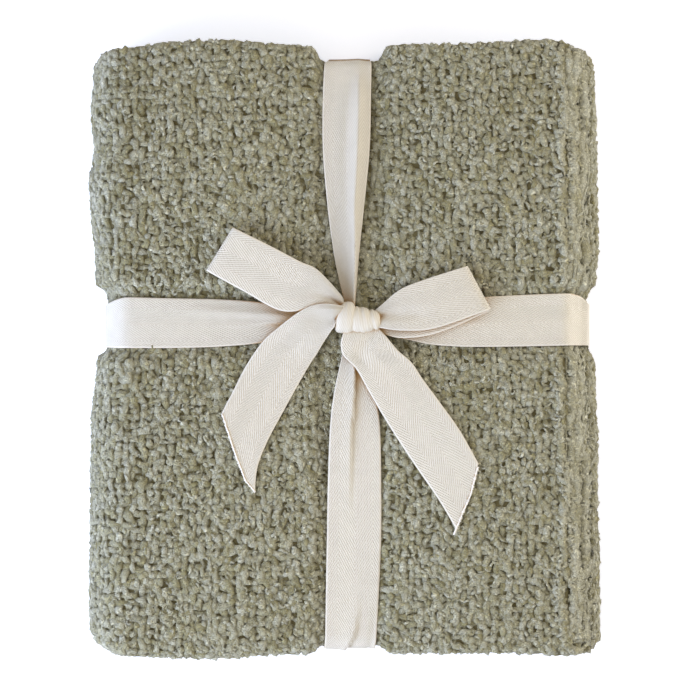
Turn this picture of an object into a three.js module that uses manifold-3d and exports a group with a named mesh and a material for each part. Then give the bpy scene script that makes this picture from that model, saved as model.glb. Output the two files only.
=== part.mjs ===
// A boucle throw folded in quarters both ways, tied round both ways with one twill tape in a bow.
// Millimetres, +Z up. The origin is the bottom centre of the folded stack, which lies flat on its back.
// The cloth's big fold lies along -X, its cut edges along +X, and its small folds along -Y and +Y.

import * as THREE from "three";
import { mergeVertices } from "three/addons/utils/BufferGeometryUtils.js";
import Module from "manifold-3d";

// Driving sizes of the cloth
const STACK_WIDE = 317.5; // a quarter of 1.27 m
const STACK_LONG = 381; // a quarter of 1.524 m
const PLY_THICK = 4; // one layer of cloth, to the tops of its loops
const PLY_PITCH = 4.6; // from one layer to the next
const STRIP_GAP = 0.8; // between two strips of four layers
const NOSE_SQUASH = 0.6; // how far a fold along X is pressed flatter than a half circle

// Driving sizes of the tape
const TAPE_WIDE = 32;
const TAPE_THICK = 1;
const TAPE_CLEAR = 0.95; // from the cloth to the middle of the tape's thickness

// Where the tape presses the stack: the middle of each pass, and half the width it presses flat
const PASS_X = 3;
const PASS_Y = 17.5;
const PRESSED_HALF = 17.5;
const PRESSED_SLOPE = 8; // from there to where the cloth bulges freely
const SOFT_SLOPE = 58; // from there to where it isn't drawn down at all
const SLOPE_END = PRESSED_HALF + PRESSED_SLOPE;

// How far the stack is pressed, as shares of its height
const PRESS_UNDER_TAPE = 0.05;
const PRESS_NEAR_TAPE = 0.05;
const PRESS_AT_RIM = 0.06;
const LIFT_UNDER_TAPE = 1.6; // hollow in the bottom face where the tape passes below, in mm

// How unevenly the layers lie between the flat faces, in long low waves
const WAVE = { high: 1.4, x: { length: 232, start: 0.6 }, y: { length: 327, start: 0.3 } };

// How far the folds at the front and back are tucked in, more and less from layer to layer
const TUCK = { deep: 2.4, high: 53, long: 565, backStart: 2 };

// How far the rim lies inside the stack's box, along each side. The tape draws it in.
const RIM = {
  left: [
    { at: 168, inset: 2.5 },
    { at: 150, inset: 1.2 },
    { at: 123, inset: 3 },
    { at: 104, inset: 0 },
    { at: PASS_Y + SLOPE_END, inset: 4.2 },
    { at: PASS_Y + PRESSED_HALF, inset: 11 },
    { at: PASS_Y - PRESSED_HALF, inset: 11 },
    { at: PASS_Y - SLOPE_END, inset: 5 },
    { at: -45, inset: 1.2 },
    { at: -150, inset: 0 },
  ],
  right: [
    { at: 166, inset: 3.4 },
    { at: 120, inset: 2 },
    { at: 60, inset: 1.2 },
    { at: PASS_Y + SLOPE_END, inset: 2.5 },
    { at: PASS_Y + PRESSED_HALF, inset: 7.5 },
    { at: PASS_Y - PRESSED_HALF, inset: 7.5 },
    { at: PASS_Y - SLOPE_END, inset: 3 },
    { at: -60, inset: 1.5 },
    { at: -160, inset: 0 },
  ],
  back: [
    { at: 140, inset: 2 },
    { at: 125, inset: 0 },
    { at: 64, inset: 2.6 },
    { at: PASS_X + SLOPE_END, inset: 3.3 },
    { at: PASS_X + PRESSED_HALF, inset: 13.8 },
    { at: PASS_X - PRESSED_HALF, inset: 13.8 },
    { at: PASS_X - SLOPE_END, inset: 3.9 },
    { at: -80, inset: 0.2 },
    { at: -105, inset: 1.4 },
    { at: -136, inset: 5.2 },
  ],
  front: [
    { at: 140, inset: 2.8 },
    { at: 95, inset: 3.6 },
    { at: PASS_X + SLOPE_END, inset: 3 },
    { at: PASS_X + PRESSED_HALF, inset: 8 },
    { at: PASS_X - PRESSED_HALF, inset: 8 },
    { at: PASS_X - SLOPE_END, inset: 2.5 },
    { at: -100, inset: 0 },
    { at: -133, inset: 2 },
  ],
};
const RIM_REACH = 70; // how far into the stack a drawn-in rim is felt

// Radius of each corner of the stack, seen from above
const CORNERS = [
  { x: -1, y: 1, radius: 19 },
  { x: 1, y: 1, radius: 22 },
  { x: -1, y: -1, radius: 24 },
  { x: 1, y: -1, radius: 9 },
];

// Places at which the cloth is cut into facets, between its folds
const slopesOf = (pass) => [-SLOPE_END, -PRESSED_HALF, PRESSED_HALF, SLOPE_END].map((off) => pass + off);
const CUTS_X = [-100, ...slopesOf(PASS_X), 80, 125];
const CUTS_Y = [-150, -75, ...slopesOf(PASS_Y), 110, 165];

// Where the cloth's cut edges lie. Along +X the top layer ends at top, each layer below it lies further
// out by step for each mm of depth, and the strip below ends at middle. Along +Y the third and fourth
// layers reach past the start of the fold beside them.
const CUT_EDGES = { top: 137, step: 0.95, middle: 151, third: 1.5, fourth: 2.5 };

// Sizes that follow from the ones above
const STRIP_THICK = 3 * PLY_PITCH + PLY_THICK;
const STRIP_PITCH = STRIP_THICK + STRIP_GAP;
const STACK_HIGH = 3 * STRIP_PITCH + STRIP_THICK;
const HALF_WIDE = STACK_WIDE / 2;
const HALF_LONG = STACK_LONG / 2;
const BIG_FOLD = STACK_HIGH / 2; // outer radius of the fold of all sixteen layers
const SIDE_FOLD = STRIP_PITCH - STRIP_GAP / 2; // outer radius of the fold of the two lowest strips
const FOLD_LEFT = BIG_FOLD - HALF_WIDE;
const FOLD_RIGHT = HALF_WIDE - SIDE_FOLD;
const FRONT_FOLD = STRIP_THICK / 2; // outer radius of a strip's own fold at the front
const BACK_FOLD = (PLY_PITCH + PLY_THICK) / 2; // outer radius of its outer two layers' fold at the back
const FOLD_FRONT = FRONT_FOLD - HALF_LONG;
const FOLD_BACK = HALF_LONG - BACK_FOLD;

// Value of a table's column at a place along it, eased from row to row
function valueAt(rows, key, value, at) {
  const last = rows.length - 1;
  const falls = rows[0][key] > rows[last][key];
  const before = (row) => (falls ? row[key] >= at : row[key] <= at);
  if (!before(rows[0])) return rows[0][value];
  if (before(rows[last])) return rows[last][value];
  const next = rows.findIndex((row) => !before(row));
  const [a, b] = [rows[next - 1], rows[next]];
  const share = (at - a[key]) / (b[key] - a[key]);
  return THREE.MathUtils.lerp(a[value], b[value], THREE.MathUtils.smoothstep(share, 0, 1));
}

// 1 under a pass of the tape, falling to 0 over a slope on each side of it
function underTape(x, y, slope) {
  const clear = (offset) =>
    THREE.MathUtils.smoothstep(Math.abs(offset), PRESSED_HALF, PRESSED_HALF + slope);
  return 1 - clear(x - PASS_X) * clear(y - PASS_Y);
}

// Height left at a place, as a share of the full height. The tape's own groove can be left out.
function heightShare(x, y, groove = 1) {
  const rim = (x / HALF_WIDE) ** 4 + (y / HALF_LONG) ** 4;
  const near = underTape(x, y, SOFT_SLOPE);
  const under = groove * underTape(x, y, PRESSED_SLOPE);
  return 1 - PRESS_UNDER_TAPE * under - PRESS_NEAR_TAPE * near - PRESS_AT_RIM * rim;
}

// Moves a point of the flat-sided stack to where it lies once the stack is tied and has settled
function settle(x, y, z) {
  const felt = (distance) => {
    const share = THREE.MathUtils.clamp(1 - distance / RIM_REACH, 0, 1);
    return share * share;
  };
  let dx = valueAt(RIM.left, "at", "inset", y) * felt(x + HALF_WIDE);
  dx -= valueAt(RIM.right, "at", "inset", y) * felt(HALF_WIDE - x);
  let dy = valueAt(RIM.front, "at", "inset", x) * felt(y + HALF_LONG);
  dy -= valueAt(RIM.back, "at", "inset", x) * felt(HALF_LONG - y);
  for (const corner of CORNERS) {
    const { radius } = corner;
    const u = corner.x * x - (HALF_WIDE - radius);
    const v = corner.y * y - (HALF_LONG - radius);
    if (u <= 0 || v <= 0) continue;
    dx += corner.x * u * (Math.sqrt(Math.max(0, 1 - (v / radius) ** 2 / 2)) - 1);
    dy += corner.y * v * (Math.sqrt(Math.max(0, 1 - (u / radius) ** 2 / 2)) - 1);
  }
  const level = THREE.MathUtils.clamp(z / STACK_HIGH, 0, 1);
  const lift = LIFT_UNDER_TAPE * underTape(x, y, PRESSED_SLOPE) * (1 - z / STACK_HIGH);
  const across = Math.sin((2 * Math.PI * x) / WAVE.x.length + WAVE.x.start);
  const along = Math.cos((2 * Math.PI * y) / WAVE.y.length + WAVE.y.start);
  const wave = WAVE.high * Math.sin(Math.PI * level) * across * along;
  return [x + dx, y + dy, (z + lift + wave) * heightShare(x, y)];
}

// How far a fold at the front or back is tucked into the stack at a height
function tuckedIn(x, y, z) {
  const inside = 1 - Math.abs(y) / HALF_LONG;
  const felt = 1 - THREE.MathUtils.smoothstep(inside, 0, 0.15);
  const turn = 2 * Math.PI * (z / TUCK.high + x / TUCK.long) + (y > 0 ? TUCK.backStart : 0);
  const inStack = Math.sin((Math.PI * z) / STACK_HIGH);
  return -Math.sign(y) * TUCK.deep * felt * inStack * Math.sin(turn) ** 2;
}

// Moves every point of a geometry
function reshape(geometry, place) {
  const points = geometry.getAttribute("position");
  for (let i = 0; i < points.count; i++) {
    points.setXYZ(i, ...place(points.getX(i), points.getY(i), points.getZ(i)));
  }
  geometry.computeVertexNormals();
  return geometry;
}

// A flat closed sheet of square facets, each point then put in place from its column, its row and
// the side of the sheet that it lies on, 1 or -1
function sheetGeometry(columns, rows, place) {
  const flat = new THREE.BoxGeometry(columns, rows, 1, columns, rows, 1).toNonIndexed();
  return reshape(flat, (x, y, z) =>
    place(Math.round(x + columns / 2), Math.round(y + rows / 2), Math.sign(z)),
  );
}

// Points on part of an ellipse, as pairs of a place and a level. Angles are in degrees.
function arc(middle, level, reach, rise, from, to, steps) {
  const points = [];
  for (let i = 0; i <= steps; i++) {
    const turn = THREE.MathUtils.degToRad(THREE.MathUtils.lerp(from, to, i / steps));
    points.push([middle + reach * Math.cos(turn), level + rise * Math.sin(turn)]);
  }
  return points;
}

// One side of the cloth, folded across Y into a strip of four layers, as pairs of y and the depth
// below the strip's outer face. One cut edge lies in the third layer and the other in the fourth.
function stripSide(side) {
  const layer = (index, edge = 0) => {
    const outward = side > 0 === (index % 2 === 0);
    const depth = index * PLY_PITCH + (outward ? 0 : PLY_THICK);
    return [FOLD_FRONT, ...CUTS_Y, FOLD_BACK + edge].map((y) => [y, depth]);
  };
  const bend = (y, radius, depth, from, to, steps) =>
    arc(y, depth, radius, radius, from, to, steps).slice(1, -1);
  const outside = side > 0 ? 0 : PLY_THICK;
  const tight = FRONT_FOLD - PLY_PITCH - PLY_THICK;
  return [
    ...layer(2, CUT_EDGES.third).reverse(),
    ...bend(FOLD_FRONT, tight + outside, FRONT_FOLD, 90, 270, 4),
    ...layer(1),
    ...bend(FOLD_BACK, BACK_FOLD - outside, BACK_FOLD, 90, -90, 4),
    ...layer(0).reverse(),
    ...bend(FOLD_FRONT, FRONT_FOLD - outside, FRONT_FOLD, 270, 90, 5),
    ...layer(3, CUT_EDGES.fourth),
  ];
}

// The strip's course through the stack, as functions from a depth in the strip to x and z. It starts
// at the strip's end on top, goes round the big fold, back below, and in again between the two.
function stripCourse() {
  const fold = (steps, at) =>
    arc(0, 0, 1, 1, 0, 180, steps).map(([cosine, sine]) => (depth) => at(depth, cosine, sine));
  const flat = (xs, level) => xs.map((x) => (depth) => [x, level(depth)]);
  const out = (radius, sine) => radius * (1 - NOSE_SQUASH + NOSE_SQUASH * sine);
  const toRight = CUTS_X;
  const toLeft = [...CUTS_X].reverse();
  const top = (depth) => STACK_HIGH - depth;
  const bottom = (depth) => depth;
  const second = (depth) => STRIP_PITCH + STRIP_THICK - depth;
  const third = (depth) => 2 * STRIP_PITCH + depth;
  const bigFold = (depth, cosine, sine) => {
    const radius = BIG_FOLD - depth;
    return [FOLD_LEFT - out(radius, sine), BIG_FOLD + radius * cosine];
  };
  const sideFold = (depth, cosine, sine) => {
    const radius = SIDE_FOLD - depth;
    return [FOLD_RIGHT + out(radius, sine), SIDE_FOLD - radius * cosine];
  };
  const innerFold = (depth, cosine, sine) => {
    const radius = STRIP_GAP / 2 + depth;
    return [FOLD_LEFT - out(radius, sine), BIG_FOLD - radius * cosine];
  };
  return [
    (depth) => [CUT_EDGES.top + CUT_EDGES.step * depth, top(depth)],
    ...flat(toLeft, top),
    ...fold(8, bigFold),
    ...flat(toRight, bottom),
    ...fold(4, sideFold),
    ...flat(toLeft, second),
    ...fold(4, innerFold),
    ...flat(toRight, third),
    (depth) => [CUT_EDGES.middle, third(depth)],
  ];
}

// Splits every facet along the same diagonal, seen from above, so that layers which lie on each
// other bend alike and stay apart. A facet's six points are a, b, d, b, c and d round its rim.
function alignFacets(geometry) {
  const points = geometry.getAttribute("position");
  const point = (i) => new THREE.Vector3().fromBufferAttribute(points, i);
  for (let i = 0; i < points.count; i += 6) {
    const [a, b, d, c] = [point(i), point(i + 1), point(i + 2), point(i + 4)];
    if ((d.x - b.x) * (d.y - b.y) >= 0) continue;
    [a, b, c, a, c, d].forEach((p, k) => points.setXYZ(i + k, p.x, p.y, p.z));
  }
  return geometry;
}

function throwGeometry() {
  const sides = { 1: stripSide(1), "-1": stripSide(-1) };
  const course = stripCourse();
  const folded = sheetGeometry(course.length - 1, sides[1].length - 1, (column, row, side) => {
    const [y, depth] = sides[side][row];
    const [x, z] = course[column](depth);
    return [x, y + tuckedIn(x, y, z), z];
  });
  return reshape(alignFacets(folded), settle);
}

// A length of tape carried through stations, each with the tape's middle, the direction across it,
// its width and its thickness
function tapeGeometry(stations, place) {
  const steps = stations.length - 1;
  const columns = 4;
  return sheetGeometry(columns, steps, (column, row, side) => {
    const station = stations[row];
    const ahead = stations[Math.min(row + 1, steps)].middle;
    const behind = stations[Math.max(row - 1, 0)].middle;
    const face = station.side.clone().cross(ahead.clone().sub(behind)).normalize();
    const point = station.middle.clone();
    point.addScaledVector(station.side, (column / columns - 0.5) * station.wide);
    point.addScaledVector(face, (side * station.thick) / 2);
    return place(point.x, point.y, point.z);
  });
}

// Stations on a smooth line through a table's rows. turn is the angle of the direction across, in degrees.
function smoothStations(rows, steps) {
  const line = new THREE.CatmullRomCurve3(rows.map((row) => new THREE.Vector3(row.x, row.y, row.z)));
  const table = rows.map((row, i) => ({ thick: TAPE_THICK, ...row, i }));
  const stations = [];
  for (let k = 0; k <= steps; k++) {
    const at = (k / steps) * (rows.length - 1);
    const turn = THREE.MathUtils.degToRad(valueAt(table, "i", "turn", at));
    stations.push({
      middle: line.getPoint(k / steps),
      side: new THREE.Vector3(Math.cos(turn), Math.sin(turn), 0),
      wide: valueAt(table, "i", "wide", at),
      thick: valueAt(table, "i", "thick", at),
    });
  }
  return stations;
}

// The passes of the tape round the stack. Towards the knot each arm is gathered: off is the distance
// from the knot, shift moves the arm sideways, and rise lifts it to the knot.
const ARMS = {
  back: [
    { off: 4, wide: 9, shift: 2, thick: 2.6, rise: 4 },
    { off: 30, wide: 15, shift: 1, thick: 2, rise: 0.5 },
    { off: 70, wide: 26, shift: -0.5, thick: 1.4, rise: 0 },
    { off: 110, wide: TAPE_WIDE, shift: -0.8, thick: TAPE_THICK, rise: 0 },
  ],
  front: [
    { off: 4, wide: 10, shift: 3, thick: 2.6, rise: 4 },
    { off: 30, wide: 22, shift: 3, thick: 1.8, rise: 0.5 },
    { off: 60, wide: TAPE_WIDE, shift: 0.8, thick: TAPE_THICK, rise: 0 },
  ],
  left: [
    { off: 10, wide: 11, shift: 2, thick: 2.4, rise: 4 },
    { off: 42, wide: 22, shift: 0.5, thick: 1.6, rise: 0.5 },
    { off: 75, wide: TAPE_WIDE, shift: -0.8, thick: TAPE_THICK, rise: 0 },
  ],
  right: [
    { off: 10, wide: 11, shift: 1, thick: 2.4, rise: 4 },
    { off: 42, wide: 24, shift: 0, thick: 1.6, rise: 0.5 },
    { off: 75, wide: TAPE_WIDE, shift: 0.8, thick: TAPE_THICK, rise: 0 },
  ],
};
const KNOT = { x: 7, y: 18 };
const OVER_STACK = STACK_HIGH + TAPE_CLEAR;
const OVER_TOP = {
  back: [KNOT.y, 26, 35, 43, 60, 85, 110, 138, 165],
  front: [-150, -112, -75, -50, -28, -8, 0, 10, KNOT.y],
  right: [KNOT.x, 14, 20.5, 28.5, 50, 80, 102, 125],
  left: [-100, -75, -50, -22.5, -14.5, -4, KNOT.x],
};

// The pass along Y: over the top, round the small folds at the back and front, and under the stack
function lengthwisePass() {
  const back = BACK_FOLD + TAPE_CLEAR;
  const front = FRONT_FOLD + TAPE_CLEAR;
  return [
    ...OVER_TOP.back.map((y) => [y, OVER_STACK]),
    ...arc(FOLD_BACK, STACK_HIGH - BACK_FOLD, back, back, 90, 0, 4),
    ...arc(FOLD_BACK, BACK_FOLD, back, back, 0, -90, 4),
    ...[...CUTS_Y].reverse().map((y) => [y, -TAPE_CLEAR]),
    ...arc(FOLD_FRONT, FRONT_FOLD, front, front, 270, 180, 5),
    ...arc(FOLD_FRONT, STACK_HIGH - FRONT_FOLD, front, front, 180, 90, 5),
    ...OVER_TOP.front.map((y) => [y, OVER_STACK]),
  ];
}

// The pass along X: over the top and the stepped cut edges, round the fold below them, under the
// stack and round the big fold
function crosswisePass() {
  const side = SIDE_FOLD + TAPE_CLEAR;
  const big = BIG_FOLD + TAPE_CLEAR;
  const flatShare = 1 - NOSE_SQUASH;
  const off = 0.9 * TAPE_CLEAR;
  const steppedEdge = [0, 0.25, 0.5, 0.75, 1].map((share) => {
    const depth = share * STRIP_THICK;
    return [CUT_EDGES.top + CUT_EDGES.step * depth + off, STACK_HIGH - depth + off];
  });
  return [
    ...OVER_TOP.right.map((x) => [x, OVER_STACK]),
    ...steppedEdge,
    ...arc(FOLD_RIGHT + flatShare * side, SIDE_FOLD, NOSE_SQUASH * side, side, 0, -90, 4),
    ...[...CUTS_X].reverse().map((x) => [x, -TAPE_CLEAR]),
    ...arc(FOLD_LEFT - flatShare * big, BIG_FOLD, NOSE_SQUASH * big, big, 270, 90, 8),
    ...OVER_TOP.left.map((x) => [x, OVER_STACK]),
  ];
}

// Stations of a pass. It runs along Y or along X, and each arm over the top takes its own gather.
function passStations(points, alongY) {
  const knot = alongY ? KNOT.y : KNOT.x;
  return points.map(([place, level], index) => {
    const onTop = level > STACK_HIGH;
    const firstHalf = index < points.length / 2;
    const arm = alongY ? (firstHalf ? "back" : "front") : firstHalf ? "right" : "left";
    const column = (key, otherwise) =>
      onTop ? valueAt(ARMS[arm], "off", key, Math.abs(place - knot)) : otherwise;
    const wide = column("wide", TAPE_WIDE);
    const thick = column("thick", TAPE_THICK);
    const shift = column("shift", valueAt(ARMS[arm], "off", "shift", Infinity));
    const z = level + column("rise", 0) + (thick - TAPE_THICK) / 2;
    const middle = alongY
      ? new THREE.Vector3(PASS_X + shift, place, z)
      : new THREE.Vector3(place, PASS_Y + shift, z);
    const side = alongY ? new THREE.Vector3(1, 0, 0) : new THREE.Vector3(0, 1, 0);
    return { middle, side, wide, thick };
  });
}

// Height of the cloth's top face where the tape bridges its own groove
function clothTop(x, y) {
  return STACK_HIGH * heightShare(x, y, 0);
}

// The bow's loops and ends. x, y and z give the tape's middle, with z above the cloth's top face,
// wide is measured across, and turn is the direction across in degrees.
const LEFT_LOOP = [
  { x: 3, y: 23, z: 4, wide: 8, turn: 62, thick: 3 },
  { x: -8, y: 30, z: 8, wide: 16, turn: 64, thick: 2 },
  { x: -27, y: 37, z: 12, wide: 28, turn: 65 },
  { x: -52, y: 48.5, z: 11.5, wide: 31, turn: 63 },
  { x: -72, y: 58.5, z: 9, wide: 31.5, turn: 60 },
  { x: -78, y: 61.5, z: 5.5, wide: 31.5, turn: 59 },
  { x: -72, y: 58.5, z: 2.6, wide: 31.5, turn: 60 },
  { x: -52, y: 48.5, z: 2.2, wide: 30, turn: 63 },
  { x: -27, y: 36, z: 2.6, wide: 24, turn: 65 },
  { x: -6, y: 27, z: 2.6, wide: 12, turn: 64, thick: 2 },
  { x: 3, y: 21, z: 1, wide: 8, turn: 62, thick: 3 },
];
const RIGHT_LOOP = [
  { x: 14, y: 18, z: 3, wide: 8, turn: 100, thick: 3 },
  { x: 23, y: 20, z: 8, wide: 15, turn: 104, thick: 2 },
  { x: 36, y: 23.5, z: 12, wide: 25, turn: 100 },
  { x: 56, y: 28, z: 11.5, wide: 31, turn: 106 },
  { x: 76, y: 35.5, z: 9, wide: 31.5, turn: 113 },
  { x: 82, y: 37.5, z: 5.5, wide: 31.5, turn: 117 },
  { x: 76, y: 34.5, z: 2.6, wide: 31.5, turn: 113 },
  { x: 56, y: 26, z: 2.4, wide: 31, turn: 106 },
  { x: 36, y: 20, z: 2.6, wide: 24, turn: 102 },
  { x: 22, y: 17.5, z: 2.4, wide: 13, turn: 102, thick: 2 },
  { x: 14, y: 17, z: 0, wide: 8, turn: 100, thick: 3 },
];
const LEFT_END = [
  { x: 0, y: 24, z: 3, wide: 9, turn: -60, thick: 3 },
  { x: -12, y: 22, z: 9, wide: 17, turn: -48, thick: 1.6 },
  { x: -24, y: 12, z: 7, wide: 30, turn: -34 },
  { x: -37.5, y: -5.5, z: 3, wide: TAPE_WIDE, turn: -30 },
  { x: -52, y: -31, z: 1.8, wide: TAPE_WIDE, turn: -30 },
  { x: -60, y: -47, z: 1.8, wide: 36, turn: -44 },
  { x: -65, y: -62.5, z: 1.8, wide: 51.5, turn: -67 },
];
const RIGHT_END = [
  { x: 8, y: 16, z: 0, wide: 18, turn: -5, thick: 3 },
  { x: 8.5, y: 9, z: 5, wide: 23, turn: -2, thick: 1.6 },
  { x: 15, y: -3, z: 5.5, wide: 31, turn: 14 },
  { x: 34.5, y: -28.5, z: 3, wide: TAPE_WIDE, turn: 34 },
  { x: 60, y: -66, z: 1.8, wide: TAPE_WIDE, turn: 34 },
  { x: 67, y: -80, z: 1.8, wide: 34.5, turn: 47 },
  { x: 73.5, y: -91, z: 1.8, wide: 41, turn: 69 },
];

// The knot: turns of gathered tape side by side
const KNOT_TURNS = [
  { x: 0.5, y: 20, above: 4.5, along: 6.5, across: 10.5, high: 6.5 },
  { x: 6.5, y: 18.5, above: 4.5, along: 6.5, across: 9, high: 7 },
  { x: 13.5, y: 17.5, above: 4.5, along: 6, across: 7.5, high: 6 },
  { x: 18, y: 18, above: 4, along: 4.5, across: 6.5, high: 5 },
];

const wasm = await Module();
wasm.setup();

// A closed geometry as a solid that can be joined to others
function solidOf(geometry) {
  const bare = geometry.clone();
  bare.deleteAttribute("normal");
  bare.deleteAttribute("uv");
  const merged = mergeVertices(bare, 1e-4);
  return new wasm.Manifold(
    new wasm.Mesh({
      numProp: 3,
      vertProperties: merged.getAttribute("position").array,
      triVerts: new Uint32Array(merged.index.array),
    }),
  );
}

function geometryOf(solid) {
  const { numProp, vertProperties, triVerts } = solid.getMesh();
  const points = new Float32Array((vertProperties.length / numProp) * 3);
  for (let i = 0; i < points.length / 3; i++) {
    points.set(vertProperties.subarray(i * numProp, i * numProp + 3), i * 3);
  }
  const geometry = new THREE.BufferGeometry();
  geometry.setAttribute("position", new THREE.BufferAttribute(points, 3));
  geometry.setIndex(new THREE.BufferAttribute(triVerts, 1));
  geometry.computeVertexNormals();
  return geometry;
}

// One piece: both passes, the knot, two loops and two cut ends
function ribbonGeometry() {
  const drape = (x, y, above) => [x, y, clothTop(x, y) + above];
  const passes = [passStations(lengthwisePass(), true), passStations(crosswisePass(), false)];
  const bow = [
    { rows: LEFT_LOOP, steps: 22 },
    { rows: RIGHT_LOOP, steps: 22 },
    { rows: LEFT_END, steps: 13 },
    { rows: RIGHT_END, steps: 13 },
  ];
  const turns = KNOT_TURNS.map((turn) => {
    const ball = new THREE.SphereGeometry(1, 12, 8);
    ball.scale(turn.along, turn.across, turn.high);
    return ball.translate(turn.x, turn.y, clothTop(turn.x, turn.y) + turn.above);
  });
  const pieces = [
    ...passes.map((stations) => tapeGeometry(stations, settle)),
    ...bow.map(({ rows, steps }) => tapeGeometry(smoothStations(rows, steps), drape)),
    ...turns,
  ];
  const joined = pieces.map(solidOf).reduce((whole, piece) => whole.add(piece));
  return geometryOf(joined);
}

function piece(name, geometry, color, roughness) {
  const mesh = new THREE.Mesh(geometry, new THREE.MeshStandardMaterial({ color, roughness, metalness: 0 }));
  mesh.name = name;
  return mesh;
}

const part = new THREE.Group();
part.add(piece("throw", throwGeometry(), 0xa3a287, 0.95));
part.add(piece("ribbon", ribbonGeometry(), 0xebddcb, 0.75));

export default part;
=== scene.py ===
# A boucle throw folded in quarters both ways, tied round both ways with one twill tape in a bow.
# Seen from straight above. The cloth and the tape are laid out in millimetres, their meshes are in metres.

import math

import bmesh
import bpy
import numpy as np
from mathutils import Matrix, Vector


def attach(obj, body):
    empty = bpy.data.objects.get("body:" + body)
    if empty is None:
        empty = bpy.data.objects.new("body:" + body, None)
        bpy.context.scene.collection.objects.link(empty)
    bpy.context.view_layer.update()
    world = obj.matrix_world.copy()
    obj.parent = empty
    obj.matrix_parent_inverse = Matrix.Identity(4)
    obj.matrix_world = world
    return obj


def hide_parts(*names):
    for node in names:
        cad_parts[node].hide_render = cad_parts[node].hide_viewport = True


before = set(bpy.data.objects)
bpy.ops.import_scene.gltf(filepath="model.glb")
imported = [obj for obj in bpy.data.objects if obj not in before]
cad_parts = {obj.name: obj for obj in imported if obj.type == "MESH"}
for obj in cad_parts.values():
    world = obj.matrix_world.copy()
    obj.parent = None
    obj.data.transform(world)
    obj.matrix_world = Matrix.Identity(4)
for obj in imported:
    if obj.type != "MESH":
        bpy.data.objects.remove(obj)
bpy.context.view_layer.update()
bpy.ops.object.select_all(action="DESELECT")

# The throw's cloth
# One piece of boucle, 1.27 x 1.524 m, plain woven from thick and thin yarn. It is folded across into
# a strip of four layers, and the strip is folded lengthways into four again: sixteen layers in all.
# This is the cloth's ground, which shows only in the gaps of the weave and between the layers.

MM = 0.001
STACK_WIDE = 317.5
STACK_LONG = 381
PLY_THICK = 4  # one layer of cloth, to the tops of its loops
PLY_PITCH = 4.6
STRIP_GAP = 0.8  # between two strips of four layers
NOSE_SQUASH = 0.6  # how far a fold along X is pressed flatter than a half circle

PASS_X = 3  # middle of the tape's pass along Y
PASS_Y = 17.5  # middle of the tape's pass along X
PRESSED_HALF = 17.5  # half the width of the groove that the tape presses
PRESSED_SLOPE = 8  # width of the groove's own slopes
SOFT_SLOPE = 58  # width of the gentle slopes towards it
SLOPE_END = PRESSED_HALF + PRESSED_SLOPE

# Shares of the height that are pressed away, and how far the tape draws the lowest layer up
PRESS_UNDER_TAPE = 0.05
PRESS_NEAR_TAPE = 0.05
PRESS_AT_RIM = 0.06
LIFT_UNDER_TAPE = 1.6

# The slow rise and fall of the layers, and the folds' tuck into the stack in front and behind
WAVE = {"high": 1.4, "x_length": 232, "x_start": 0.6, "y_length": 327, "y_start": 0.3}
TUCK = {"deep": 2.4, "high": 53, "long": 565, "back_start": 2}

# How far the rim lies inside the stack's box: the place along a side, and the inset there
RIM = {
    "left": {
        168: 2.5, 150: 1.2, 123: 3, 104: 0, PASS_Y + SLOPE_END: 4.2, PASS_Y + PRESSED_HALF: 11,
        PASS_Y - PRESSED_HALF: 11, PASS_Y - SLOPE_END: 5, -45: 1.2, -150: 0,
    },
    "right": {
        166: 3.4, 120: 2, 60: 1.2, PASS_Y + SLOPE_END: 2.5, PASS_Y + PRESSED_HALF: 7.5,
        PASS_Y - PRESSED_HALF: 7.5, PASS_Y - SLOPE_END: 3, -60: 1.5, -160: 0,
    },
    "back": {
        140: 2, 125: 0, 64: 2.6, PASS_X + SLOPE_END: 3.3, PASS_X + PRESSED_HALF: 13.8,
        PASS_X - PRESSED_HALF: 13.8, PASS_X - SLOPE_END: 3.9, -80: 0.2, -105: 1.4, -136: 5.2,
    },
    "front": {
        140: 2.8, 95: 3.6, PASS_X + SLOPE_END: 3, PASS_X + PRESSED_HALF: 8,
        PASS_X - PRESSED_HALF: 8, PASS_X - SLOPE_END: 2.5, -100: 0, -133: 2,
    },
}
RIM_REACH = 70  # how far in from the rim its unevenness is felt
CORNER_RADII = {(-1, 1): 19, (1, 1): 22, (-1, -1): 24, (1, -1): 9}  # by the signs of x and y
# The cut edges on the right: of the top strip, with its step out for each mm down, and of the middle one.
# The third and the fourth layer end this far past the fold at the back.
CUT_EDGES = {"top": 137, "step": 0.95, "middle": 151, "third": 1.5, "fourth": 2.5}

STRIP_THICK = 3 * PLY_PITCH + PLY_THICK
STRIP_PITCH = STRIP_THICK + STRIP_GAP
STACK_HIGH = 3 * STRIP_PITCH + STRIP_THICK
HALF_WIDE = STACK_WIDE / 2
HALF_LONG = STACK_LONG / 2
BIG_FOLD = STACK_HIGH / 2  # outer radius of the fold of all sixteen layers
SIDE_FOLD = STRIP_PITCH - STRIP_GAP / 2  # outer radius of the fold of the two lowest strips
FOLD_LEFT = BIG_FOLD - HALF_WIDE
FOLD_RIGHT = HALF_WIDE - SIDE_FOLD
FRONT_FOLD = STRIP_THICK / 2
BACK_FOLD = (PLY_PITCH + PLY_THICK) / 2
FOLD_FRONT = FRONT_FOLD - HALF_LONG
FOLD_BACK = HALF_LONG - BACK_FOLD


def smooth(share):
    share = np.clip(share, 0, 1)
    return share * share * (3 - 2 * share)


def eased(table, at):
    """A table's value at places along it, eased from one place to the next."""
    places = np.array(sorted(table), float)
    values = np.array([table[place] for place in sorted(table)], float)
    i = np.clip(np.searchsorted(places, at, side="right") - 1, 0, len(places) - 2)
    share = smooth((at - places[i]) / (places[i + 1] - places[i]))
    return values[i] + (values[i + 1] - values[i]) * share


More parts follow.
